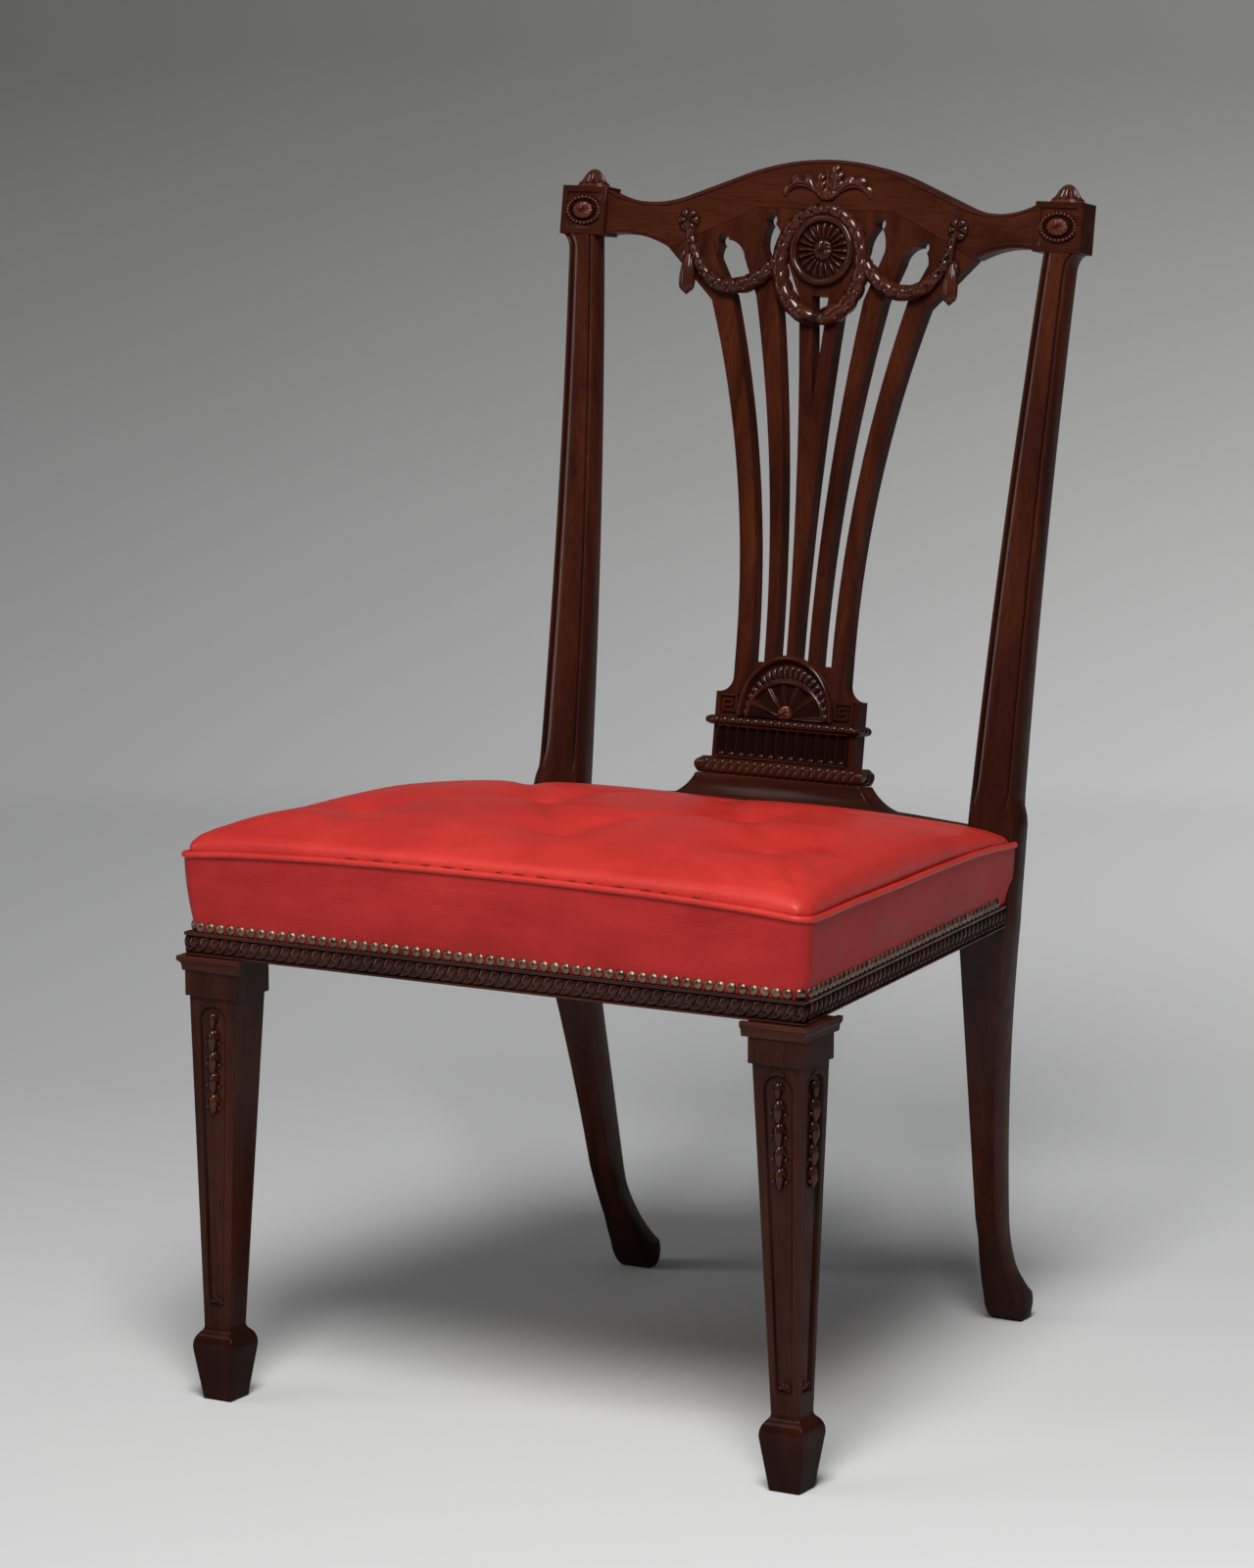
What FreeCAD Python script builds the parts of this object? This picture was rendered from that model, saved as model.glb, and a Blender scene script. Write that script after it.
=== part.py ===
import FreeCAD, Part
import math
import os
import re
import Sketcher
from FreeCAD import Placement, Rotation, Vector

# Fan back side chair: carved mahogany frame, pierced fan splat, stuffed leather seat.
# Millimetres. +Z is up, the chair faces -Y, and the origin is on the floor under its middle.
# The raked back has a frame of its own: X across, Z up the back, Y square to it, towards the rear.

SIZES = {
    # Seat plan, over the outer faces of the front legs and the rail mouldings
    "front_reach": 288,
    "seat_front_half": 276,
    "seat_back_half": 226,
    "rail_bottom": 361,
    "rail_height": 52,
    "seat_fall": 4,
    "rail_thickness": 26,
    "back_rail_front": 154,
    "rail_setback": 8,
    "tenon_thickness": 9,
    "tenon_length": 14,
    "tenon_root": 5,
    "tenon_inset": 12,
    "joint_gap": 0.2,
    # Front legs: tapered shaft between a square block and a spade foot
    "leg_block": 48,
    "block_reach": 32,
    "shaft_top": 43,
    "shaft_foot": 24,
    "shaft_foot_gap": 14.5,
    "leg_splay": 4,
    "leg_lean": 2.5,
    "spade_height": 43.5,
    "spade_width": 38,
    "spade_foot": 26,
    "panel_depth": 2,
    "panel_foot_gap": 20,
    "panel_head_gap": 8,
    "panel_foot_half": 6.5,
    "panel_head_half": 12,
    "capital_height": 12,
    "capital_overhang": 3.5,
    # Back legs, one piece with the stiles: side view
    "foot_depth": 25,
    "heel": 276.5,
    "foot_front_radius": 387,
    "foot_back_radius": 125,
    "club_height": 22,
    "club_tuck": 6,
    "club_step": 9.5,
    "club_toe_radius": 60,
    "club_heel_radius": 24,
    "ankle_height": 100,
    "ankle_sweep": 55,
    "ankle_depth": 25,
    "knee_drop": 11,
    "knee_lead": 4,
    "knee_depth": 32.7,
    "knee_back_rise": 2,
    "stile_lead": 19.57,
    "stile_depth": 20.9,
    "stile_reach": 3.3,
    # Back legs: front view
    "foot_outer": 197,
    "foot_width": 35,
    "ankle_outer": 193,
    "ankle_outer_height": 50,
    "ankle_width": 19,
    "ankle_inner_height": 80,
    "leg_width": 41.5,
    "leg_bow_radius": 2200,
    "shoulder_rise": 27,
    "shoulder_step": 4,
    "neck_outer": 234,
    "neck_width": 23.5,
    "stile_bow_radius": 8000,
    # Raked and bowed back
    "rake": 9.1,
    "bow_radius": 1260,
    "splat_setback": 20,
    "shoe_rise": 46,
    # Crest rail, in the frame of the back
    "crest_thickness": 18,
    "crest_rise": 42.5,
    "crown_half": 85,
    "crown_edge_rise": 24.5,
    "crown_radius": 221,
    "sweep_half": 127,
    "sweep_edge_rise": 8,
    "sweep_radius": 94,
    "crest_end_rise": 10.5,
    "crest_end_drop": 29,
    "crest_corner_half": 143,
    "crest_corner_drop": 37,
    "crest_corner_radius": 90,
    "seam_half": 64,
    "seam_height": 474,
    "tablet_lap": 10,
    "tablet_width": 42.5,
    "tablet_drop": 29.7,
    "tablet_height": 41,
    "tablet_front": 21,
    "tablet_depth": 25,
    "tablet_border": 5,
    "tablet_sink": 2,
    "stile_tenon_width": 14,
    "stile_tenon_thickness": 9,
    "stile_tenon_length": 24,
    # Splat: pedestal, five flaring bars and the heads of the slots
    "splat_thickness": 14,
    "pedestal_half": 67,
    "pedestal_height": 69,
    "pedestal_proud": 2,
    "pedestal_thickness": 16,
    "cove_radius": 13,
    "fan_foot_rise": 37.5,
    "fan_foot_half": 52.5,
    "fan_head_drop": 79,
    "fan_head_half": 100.2,
    "slot_foot_rise": 27,
    "outer_slot_foot_out": 38,
    "outer_slot_foot_in": 25.5,
    "outer_slot_head_out": 82.5,
    "outer_slot_head_in": 59.6,
    "inner_slot_foot_out": 15.5,
    "inner_slot_foot_in": 5,
    "inner_slot_head_out": 40.6,
    "inner_slot_head_in": 19.6,
    "slot_shoulder_drop": 74,
    "outer_loop_out": 99.5,
    "outer_loop_in": 73,
    "outer_loop_drop": 43,
    "outer_loop_tip": 94,
    "outer_loop_gap": 23.5,
    "inner_loop_out": 57,
    "inner_loop_in": 38,
    "inner_loop_drop": 34,
    "inner_loop_tip": 51,
    "inner_loop_gap": 5,
    "loop_fullness": 1.2,
    "loop_eye": 5.2,
    "slit_tip_drop": 162.5,
    "slit_head_drop": 72,
    "slit_half": 7.6,
    "splat_tenon_half": 45,
    "splat_tenon_length": 14,
    "splat_tenon_thickness": 7,
    # Shoe on the back rail, and the mouldings round the pedestal
    "shoe_setback": 15,
    "shoe_lip": 24,
    "shoe_cove_radius": 34,
    "shoe_flank_half": 104,
    "shoe_flank_rise": 26,
    "shoe_flank_radius": 42,
    "shoe_end_drop": 4,
    "shoe_top_half": 77,
    "shoe_ledge": 10,
    "gadroon_height": 14,
    "gadroon_overhang": 12,
    "gadroon_proud": 7,
    "bead_bottom": 42,
    "bead_height": 6,
    "bead_overhang": 5,
    "bead_proud": 5,
    "moulding_chamfer": 3,
    # Carved ornament of the back
    "medallion_radius": 30,
    "medallion_drop": 33.8,
    "medallion_rim": 6,
    "medallion_dish": 1,
    "medallion_boss_radius": 9,
    "medallion_proud": 6,
    "wreath_half_width": 44,
    "wreath_half_height": 50,
    "wreath_drop": 46.3,
    "wreath_band": 13,
    "wreath_chamfer": 3.9,
    "wreath_proud": 7,
    "rosette_half": 126,
    "rosette_drop": 13.4,
    "rosette_radius": 9,
    "rosette_proud": 5,
    "swag_inner_half": 46,
    "swag_inner_drop": 46,
    "swag_outer_drop": 22,
    "swag_sag": 26,
    "swag_radius": 5.5,
    "drop_half": 123.5,
    "husk_hang": 50,
    "drop_half_length": 23,
    "drop_radius": 6.5,
    "leaf_half": 41,
    "leaf_rise": 9,
    "leaf_reach": 39.5,
    "leaf_proud": 4,
    "lunette_radius": 44,
    "lunette_inner_radius": 28,
    "lunette_gap": 7,
    "lunette_proud": 4,
    "patera_half_width": 13.5,
    "patera_half_height": 10.5,
    "patera_proud": 5,
    "finial_radius": 15.5,
    "finial_height": 16,
    "finial_setback": 3,
    # Upholstery
    "block_size": 60,
    "block_height": 32,
    "block_drop": 10,
    "web_width": 50,
    "web_thickness": 1.5,
    "web_gap": 14,
    "web_margin": 4,
    "web_count": 5,
    "hessian_thickness": 1,
    "leather_thickness": 2,
    "welt_rise": 29,
    "welt_fall": 13,
    "welt_radius": 2.6,
    "seat_corner_radius": 16,
    "crown_rise": 35,
    "crown_fall": 14,
    "soft_gap": 0.3,
    "tuft_radius": 60,
    "tuft_depth": 6,
    "tuft_across": 185,
    "tuft_deep": 125,
    "tuft_middle": -47,
    "seat_gap": 1.5,
    "moulding_height": 19,
    "moulding_fillet": 3,
    "moulding_groove": 2,
    "nail_radius": 4,
    "nail_proud": 2.4,
    "nail_pitch": 9.5,
}

# Sizes that follow others: places measured from the rails and the seam of the crest, and thicknesses
TIED = {
    "block_bottom": "rail_bottom - block_reach",
    "shaft_bottom": "spade_height + shaft_foot_gap",
    "panel_bottom": "shaft_bottom + panel_foot_gap",
    "panel_top": "block_bottom - panel_head_gap",
    "toe": "heel - foot_depth",
    "knee_height": "rail_bottom - knee_drop",
    "knee_front": "back_rail_front - knee_lead",
    "knee_back": "knee_front + knee_depth",
    "knee_back_height": "rail_bottom + knee_back_rise",
    "ankle_front": "knee_front + ankle_sweep",
    "ankle_back": "ankle_front + ankle_depth",
    "foot_inner": "foot_outer - foot_width",
    "ankle_inner": "ankle_outer - ankle_width",
    "leg_outer": "seat_back_half",
    "leg_inner": "leg_outer - leg_width",
    "neck_inner": "neck_outer - neck_width",
    "shoulder_height": "rail_bottom + rail_height + shoulder_rise",
    "shoe_front": "back_rail_front + shoe_setback",
    "shoe_top": "rail_bottom + rail_height - seat_fall + shoe_rise",
    "shoe_flank_height": "rail_bottom + rail_height - seat_fall + shoe_flank_rise",
    "splat_foot_y": "shoe_front + splat_setback",
    "crest_top": "seam_height + crest_rise",
    "crown_edge": "seam_height + crown_edge_rise",
    "sweep_edge": "seam_height + sweep_edge_rise",
    "crest_end_top": "seam_height + crest_end_rise",
    "crest_end_bottom": "seam_height - crest_end_drop",
    "crest_corner": "seam_height - crest_corner_drop",
    "tablet_inner": "neck_inner - tablet_lap",
    "tablet_bottom": "seam_height - tablet_drop",
    "stile_top": "shoe_top + tablet_bottom*cos(rake) + stile_reach",
    "stile_top_front": "splat_foot_y + tablet_bottom*sin(rake) - stile_lead",
    "stile_top_back": "stile_top_front + stile_depth",
    "fan_foot": "pedestal_height + fan_foot_rise",
    "fan_head": "seam_height - fan_head_drop",
    "slot_foot": "pedestal_height + slot_foot_rise",
    "slot_shoulder": "seam_height - slot_shoulder_drop",
    "outer_loop_height": "seam_height - outer_loop_drop",
    "outer_loop_top": "seam_height - outer_loop_gap",
    "inner_loop_height": "seam_height - inner_loop_drop",
    "inner_loop_top": "seam_height - inner_loop_gap",
    "slit_tip": "seam_height - slit_tip_drop",
    "slit_head": "seam_height - slit_head_drop",
    "medallion_height": "seam_height - medallion_drop",
    "wreath_height": "seam_height - wreath_drop",
    "rosette_height": "seam_height - rosette_drop",
    "swag_inner_height": "seam_height - swag_inner_drop",
    "swag_outer_height": "seam_height - swag_outer_drop",
    "drop_height": "seam_height - husk_hang",
    "leaf_bottom": "seam_height + leaf_rise",
    "leaf_top": "seam_height + leaf_reach",
    "lunette_bottom": "bead_bottom + bead_height + lunette_gap",
    "welt_height": "rail_bottom + rail_height + welt_rise",
    "seat_back_edge": "shoe_front - seat_gap",
}

doc = FreeCAD.newDocument("fan_back_side_chair")
sheet = doc.addObject("Spreadsheet::Sheet", "Sizes")
cells = {alias: str(amount) for alias, amount in SIZES.items()}
cells.update((alias, "=" + formula) for alias, formula in TIED.items())
for row, (alias, content) in enumerate(cells.items(), start=1):
    sheet.set("A%d" % row, alias)
    sheet.set("B%d" % row, content)
    sheet.setAlias("B%d" % row, alias)
doc.recompute()

SIDES = {"left": -1, "right": 1}
nodes = []


def bound(text):
    """The formula with each size's name pointed at its cell."""
    return re.sub(r"[a-z_]+", lambda word: ("Sizes." if word.group() in cells else "") + word.group(), text)


def value(text):
    """The number that a formula of size names comes to."""
    return float(sheet.evalExpression(bound(text)))


def bind(feature, **formulas):
    """Ties properties of a feature to formulas of size names."""
    for name, text in formulas.items():
        feature.setExpression(name, bound(text))
    return feature


# Depth to the front of the welt and to the back of the crest; the frame's origin is half way between
FRONT_DEPTH = "(front_reach + 2*welt_radius + soft_gap)"
REAR_DEPTH = "(splat_foot_y + crest_top*sin(rake) + crest_thickness*cos(rake))"


def keep(feature, label, placement=None):
    """Names a finished sub-part, sets its place and lists it for writing."""
    feature.Label = label
    middle = Vector(0, value("(%s - %s)/2" % (FRONT_DEPTH, REAR_DEPTH)), 0)
    feature.Placement = Placement(middle, Rotation()).multiply(placement or feature.Placement)
    nodes.append(feature)
    return feature


def new_body(name):
    return doc.addObject("PartDesign::Body", name)


def arc_centre(start, end, radius):
    """Centre of the short arc from start to end; a positive radius turns left, a negative one right."""
    chord = end - start
    rise = math.sqrt(radius**2 - (chord.Length/2)**2)
    normal = Vector(-chord.y, chord.x, 0).normalize()
    return (start + end)/2 + normal*math.copysign(rise, radius)


def outline(body, plane, corners, level="0", mirror=1):
    """Sketch of a closed outline. A corner is (x, y), or (x, y, radius) where an arc runs on from it."""
    sketch = body.newObject("Sketcher::SketchObject", body.Name + "_outline")
    origin_plane = next(f for f in body.Origin.OriginFeatures if f.Role == plane)
    sketch.AttachmentSupport = [(origin_plane, "")]
    sketch.MapMode = "FlatFace"
    sketch.setExpression("AttachmentOffset.Base.z", bound(level))
    flip = "-(%s)" if mirror < 0 else "%s"
    formulas = [(flip % x, y) for x, y, *_ in corners]
    points = [Vector(value(x), value(y), 0) for x, y in formulas]
    ends = []
    for index, corner in enumerate(corners):
        start, end = points[index], points[(index + 1) % len(points)]
        if len(corner) == 2:
            sketch.addGeometry(Part.LineSegment(start, end))
            ends.append((1, 2))
            continue
        radius = value(corner[2])*mirror
        centre = arc_centre(start, end, radius)
        first, last = (start, end) if radius > 0 else (end, start)
        angles = [math.atan2(p.y - centre.y, p.x - centre.x) for p in (first, last)]
        circle = Part.Circle(centre, Vector(0, 0, 1), abs(radius))
        sketch.addGeometry(Part.ArcOfCircle(circle, *angles))
        ends.append((1, 2) if radius > 0 else (2, 1))
        size = sketch.addConstraint(Sketcher.Constraint("Radius", index, abs(radius)))
        sketch.setExpression("Constraints[%d]" % size, bound("abs(%s)" % corner[2]))
    for index, (x, y) in enumerate(formulas):
        begin = ends[index][0]
        before = index - 1 if index else len(points) - 1
        sketch.addConstraint(Sketcher.Constraint("Coincident", before, ends[before][1], index, begin))
        for kind, text, amount in (("DistanceX", x, points[index].x), ("DistanceY", y, points[index].y)):
            size = sketch.addConstraint(Sketcher.Constraint(kind, -1, 1, index, begin, amount))
            sketch.setExpression("Constraints[%d]" % size, bound(text))
    return sketch


def pad(body, sketch, length, backwards=False):
    """Pad of a sketch, by a length formula."""
    feature = body.newObject("PartDesign::Pad", body.Name + "_pad")
    feature.Profile = sketch
    feature.Reversed = backwards
    return bind(feature, Length=length)


def loft(body, sections, ruled=True):
    feature = body.newObject("PartDesign::AdditiveLoft", body.Name + "_loft")
    feature.Profile = sections[0]
    feature.Sections = sections[1:]
    feature.Ruled = ruled
    return feature


def prism(name, plane, corners, level, length, mirror=1, backwards=False):
    """Body with one padded outline."""
    body = new_body(name)
    pad(body, outline(body, plane, corners, level, mirror), length, backwards)
    return body


def boolean(kind, base, tool, name):
    feature = doc.addObject("Part::" + kind, name)
    feature.Base = base
    feature.Tool = tool
    return feature


def joined(name, *features):
    feature = doc.addObject("Part::MultiFuse", name)
    feature.Shapes = list(features)
    feature.Refine = True
    return feature


def block(name, x, y, z):
    """Box between two formulas on each axis."""
    box = doc.addObject("Part::Box", name)
    for axis, size, (low, high) in zip("xyz", ("Length", "Width", "Height"), (x, y, z)):
        box.setExpression(size, bound("(%s) - (%s)" % (high, low)))
        box.setExpression("Placement.Base." + axis, bound(low))
    return box


def solid(label, shape):
    """Sub-part whose shape is worked out from the sheet's sizes."""
    feature = doc.addObject("Part::Feature", label)
    feature.Shape = shape
    return keep(feature, label)


def polygon(points):
    return Part.makePolygon(list(points) + [points[0]])


def signed(low, high, side):
    """Range on X for one side of the chair: swapped and negated on the left."""
    return (low, high) if side > 0 else ("-(%s)" % high, "-(%s)" % low)


# Lines that several pieces share
RAIL_TOP = "(rail_bottom + rail_height)"
BACK_RAIL_BOTTOM = "(rail_bottom - seat_fall)"
BACK_RAIL_TOP = "(rail_bottom + rail_height - seat_fall)"
SIDE_SLOPE = "((seat_front_half - seat_back_half)/(knee_front + front_reach))"
SIDE_STRETCH = "sqrt(1 + %s^2)" % SIDE_SLOPE
STILE_SLOPE = "((stile_top_front - knee_front)/(stile_top - knee_height))"
BACK_SLOPE = "((stile_top_back - knee_back)/(stile_top - knee_back_height))"
SPLAT_MIDDLE = "(splat_thickness/2)"
# Start and length of a saw cut that passes right through the boards of the back
THROUGH = ("4*splat_thickness", "8*splat_thickness")
BACK = Placement(Vector(0, value("splat_foot_y"), value("shoe_top")),
                 Rotation(Vector(1, 0, 0), -value("rake")))


def side_line(y, inset="0"):
    """X of the right side of the seat at y, moved inwards by inset."""
    return "(seat_front_half - %s*((%s) + front_reach) - (%s)*%s)" % (SIDE_SLOPE, y, inset, SIDE_STRETCH)


def stile_front(z):
    """Y of the raked front of a stile at a height."""
    return "(knee_front + %s*((%s) - knee_height))" % (STILE_SLOPE, z)


def stile_back(z):
    """Y of the raked back of a stile at a height."""
    return "(knee_back + %s*((%s) - knee_back_height))" % (BACK_SLOPE, z)


def back_block(name, x, y, z):
    """Box between two formulas on each axis of the back's own frame, set in place."""
    box = doc.addObject("Part::Box", name)
    for size, (low, high) in zip(("Length", "Width", "Height"), (x, y, z)):
        box.setExpression(size, bound("(%s) - (%s)" % (high, low)))
    corner = Vector(*(value(low) for low, high in (x, y, z)))
    box.Placement = BACK.multiply(Placement(corner, Rotation()))
    return box


def bevelled(base, label, size, reach, front, levels, placement=None):
    """Chamfer along the outer edges of a moulding: those on its sides and front, at the given levels."""
    doc.recompute()
    heights = [value(level) for level in levels]
    rims = []
    for number, edge in enumerate(base.Shape.Edges, start=1):
        middle = edge.CenterOfMass
        outside = abs(abs(middle.x) - value(reach)) < 1e-6 or abs(middle.y + value(front)) < 1e-6
        ends = [vertex.Z for vertex in edge.Vertexes]
        if outside and any(max(abs(z - height) for z in ends) < 1e-6 for height in heights):
            rims.append(number)
    bevel = doc.addObject("Part::Chamfer", label)
    bevel.Base = base
    bevel.Edges = [(number, value(size), value(size)) for number in rims]
    return keep(bevel, label, placement)


def bow_cylinder(name, radius, low, high):
    """Upright cylinder whose wall is the bow of the back, with its axis in front of the chair back."""
    cylinder = bind(doc.addObject("Part::Cylinder", name), Radius=radius, Height="(%s) - (%s)" % (high, low))
    cylinder.setExpression("Placement.Base.y", bound("-bow_radius"))
    cylinder.setExpression("Placement.Base.z", bound(low))
    return cylinder


def bowed_board(name, thickness):
    """Curved board, hollow to the front, that the crest rail or the splat is cut from."""
    outer = bow_cylinder(name + "_back", "bow_radius + " + thickness, "-10", "crest_top + 20")
    inner = bow_cylinder(name + "_face", "bow_radius", "-20", "crest_top + 30")
    return boolean("Cut", outer, inner, name)


# Front legs
TENON_LOW = "(rail_bottom + tenon_inset)"
TENON_HIGH = "(%s - tenon_inset)" % RAIL_TOP
POST_FACE = "(rail_setback - front_reach)"
POST_BACK = "(leg_block - front_reach)"
LEG_INNER = "(seat_front_half - leg_block)"
RAIL_MIDDLE = "(%s + rail_thickness/2)" % POST_FACE
SHAFT_MIDDLE_X = "(seat_front_half - leg_block/2)"
SHAFT_MIDDLE_Y = "(leg_block/2 - front_reach)"


def square(body, level, size, x, y, side):
    """Sketch of a square, level with the floor, centred on x and y."""
    low_x, high_x = ("%s %s (%s)/2" % (x, sign, size) for sign in "-+")
    low_y, high_y = ("%s %s (%s)/2" % (y, sign, size) for sign in "-+")
    corners = [(low_x, low_y), (high_x, low_y), (high_x, high_y), (low_x, high_y)]
    return outline(body, "XY_Plane", corners, level, side)


def sunk_panel(name, side, on_front):
    """Cutter for a sunk panel with an arched head, laid along the tapered face of a leg."""
    spring = "panel_top - panel_head_half"
    corners = [("-panel_foot_half", "panel_bottom"), ("panel_foot_half", "panel_bottom"),
               ("panel_head_half", spring, "panel_head_half*1.001"), ("-panel_head_half", spring)]
    cutter = prism(name, "XZ_Plane", corners, "0", "4*panel_depth")
    length = value("block_bottom - shaft_bottom")
    taper = value("shaft_top - shaft_foot")/2
    outward, forward = value("leg_splay"), value("leg_lean")
    to_floor = value("block_bottom")/length
    middle_x, middle_y = value(SHAFT_MIDDLE_X), value(SHAFT_MIDDLE_Y)
    depth = value("shaft_top/2 - panel_depth")
    along, across = (forward, outward) if on_front else (outward, forward)
    tilt = Rotation(Vector(1, 0, 0), math.degrees(math.atan2(taper - along, length)))
    swing = math.degrees(math.atan2(across, length))
    sink = depth - (taper - along)*to_floor
    if on_front:
        base = Vector(side*(middle_x + outward*to_floor), middle_y - sink, 0)
        turn = Rotation(Vector(0, 1, 0), -side*swing)
    else:
        base = Vector(side*(middle_x + sink), middle_y - forward*to_floor, 0)
        turn = Rotation(Vector(0, 0, 1), 90*side).multiply(Rotation(Vector(0, 1, 0), side*swing))
    cutter.Placement = Placement(base, turn.multiply(tilt))
    return cutter


def about(middle, half):
    """Range of formulas on both sides of a middle."""
    return ("%s - %s" % (middle, half), "%s + %s" % (middle, half))


def widened(span):
    """Range of a mortise: that of its tenon with the gap at both ends."""
    return (span[0] + " - joint_gap", span[1] + " + joint_gap")


TENON_ROOM = "(tenon_thickness/2 + joint_gap)"
TENON_Z = (TENON_LOW, TENON_HIGH)
BACK_TENON_Z = (TENON_LOW + " - seat_fall", TENON_HIGH + " - seat_fall")
SIDE_RAIL_MIDDLE = "rail_setback + rail_thickness/2"

for name, side in SIDES.items():
    leg = new_body("leg_blank_" + name)
    foot_x = SHAFT_MIDDLE_X + " + leg_splay"
    foot_y = SHAFT_MIDDLE_Y + " - leg_lean"
    stages = [("0", "spade_foot", foot_x, foot_y), ("spade_height", "spade_width", foot_x, foot_y),
              ("shaft_bottom", "shaft_foot", foot_x, foot_y),
              ("block_bottom", "shaft_top", SHAFT_MIDDLE_X, SHAFT_MIDDLE_Y)]
    for lower, upper in zip(stages, stages[1:]):
        loft(leg, [square(leg, *lower, side), square(leg, *upper, side)])
    pad(leg, square(leg, "block_bottom", "leg_block", SHAFT_MIDDLE_X, SHAFT_MIDDLE_Y, side),
        "rail_bottom - block_bottom")
    post = [(LEG_INNER, POST_FACE), (side_line(POST_FACE, "rail_setback"), POST_FACE),
            (side_line(POST_BACK, "rail_setback"), POST_BACK), (LEG_INNER, POST_BACK)]
    pad(leg, outline(leg, "XY_Plane", post, "rail_bottom", side), "rail_height")
    front_mortise = block("front_mortise_" + name,
                          signed(LEG_INNER, LEG_INNER + " + tenon_length + joint_gap", side),
                          about(RAIL_MIDDLE, TENON_ROOM), widened(TENON_Z))
    side_mortise = block("side_mortise_" + name,
                         signed(*about(side_line(POST_BACK, SIDE_RAIL_MIDDLE), TENON_ROOM), side),
                         (POST_BACK + " - tenon_length - joint_gap", POST_BACK), widened(TENON_Z))
    cutters = joined("leg_cutters_" + name, front_mortise, side_mortise,
                     sunk_panel("front_panel_" + name, side, True),
                     sunk_panel("outer_panel_" + name, side, False))
    keep(boolean("Cut", leg, cutters, "front_leg_" + name), "front_leg_" + name)

    capital_z = ("rail_bottom - capital_height", "rail_bottom")
    ring = block("capital_ring_" + name,
                 signed(LEG_INNER + " - capital_overhang", "seat_front_half + capital_overhang", side),
                 ("-front_reach - capital_overhang", POST_BACK + " + capital_overhang"), capital_z)
    hollow = block("capital_hollow_" + name,
                   signed(LEG_INNER + " - 2*capital_overhang", "seat_front_half + joint_gap", side),
                   ("-front_reach - joint_gap", POST_BACK + " + 2*capital_overhang"), capital_z)
    capital = boolean("Cut", ring, hollow, "capital_blank_" + name)
    bevelled(capital, "leg_capital_" + name, "0.8*(capital_overhang - joint_gap)",
             "seat_front_half + capital_overhang", "front_reach + capital_overhang", capital_z[:1])

# Back legs, one piece with the stiles above the seat
STILE_END = "(stile_top + tablet_height)"
side_view = [("toe + club_tuck", "0", "-club_toe_radius"),
             ("toe - club_step", "club_height", "-foot_front_radius"), ("ankle_front", "ankle_height"),
             ("knee_front", "knee_height"), (stile_front(STILE_END), STILE_END),
             (stile_back(STILE_END), STILE_END), ("knee_back", "knee_back_height"),
             ("ankle_back", "ankle_height", "foot_back_radius"),
             ("heel", "club_height", "-club_heel_radius"), ("heel - club_tuck", "0")]
front_view = [("foot_outer", "0"), ("ankle_outer", "ankle_outer_height", "-leg_bow_radius"),
              ("leg_outer", "rail_bottom"), ("leg_outer", "shoulder_height"),
              ("leg_outer - shoulder_step", "shoulder_height + 3*shoulder_step", "-stile_bow_radius"),
              ("neck_outer", "stile_top"), ("neck_outer", STILE_END), ("neck_inner", STILE_END),
              ("neck_inner", "stile_top", "stile_bow_radius"), ("leg_inner", "shoulder_height"),
              ("leg_inner", "rail_bottom"), ("ankle_inner", "ankle_inner_height"), ("foot_inner", "0")]
STILE_MIDDLE = "(neck_outer + neck_inner)/2"
TABLET_MIDDLE = "(tablet_depth/2 - tablet_front)"
BACK_TENON_MIDDLE = "(back_rail_front + %s)/2" % stile_back("rail_bottom")
for name, side in SIDES.items():
    sawn = prism("leg_side_" + name, "YZ_Plane", side_view, signed("0", "2*leg_outer", side)[0],
                 "2*leg_outer")
    shaped = prism("leg_front_" + name, "XZ_Plane", front_view, "0", "2*heel", side, True)
    blank = boolean("Common", sawn, shaped, "back_leg_blank_" + name)
    waste = back_block("stile_waste_" + name, signed("leg_inner/2", "2*leg_outer", side),
                       ("-4*tablet_depth", "4*tablet_depth"),
                       ("tablet_bottom - joint_gap", "tablet_bottom + 3*tablet_height"))
    side_mortise = block("leg_side_mortise_" + name,
                         signed(*about(side_line("knee_front", SIDE_RAIL_MIDDLE), TENON_ROOM), side),
                         ("knee_front - tenon_root", stile_front(RAIL_TOP) + " + tenon_length/2 + joint_gap"),
                         widened(BACK_TENON_Z))
    back_mortise = block("leg_back_mortise_" + name,
                         signed("leg_inner - tenon_root", "leg_inner + tenon_length + joint_gap", side),
                         about(BACK_TENON_MIDDLE, TENON_ROOM), widened(BACK_TENON_Z))
    trimmed = boolean("Cut", blank, joined("leg_waste_" + name, waste, side_mortise, back_mortise),
                      "leg_trimmed_" + name)
    tenon = back_block("stile_tenon_" + name, signed(*about(STILE_MIDDLE, "stile_tenon_width/2"), side),
                       about(TABLET_MIDDLE, "stile_tenon_thickness/2"),
                       ("tablet_bottom - tenon_root", "tablet_bottom + stile_tenon_length"))
    keep(joined("back_leg_" + name, trimmed, tenon), "back_leg_" + name)


# Seat rails with their tenons
def rectangle(x, y):
    """Corners of a rectangle between two formulas each way."""
    return [(x[0], y[0]), (x[1], y[0]), (x[1], y[1]), (x[0], y[1])]


def both_ways(half):
    return ("-(%s)" % half, half)


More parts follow.
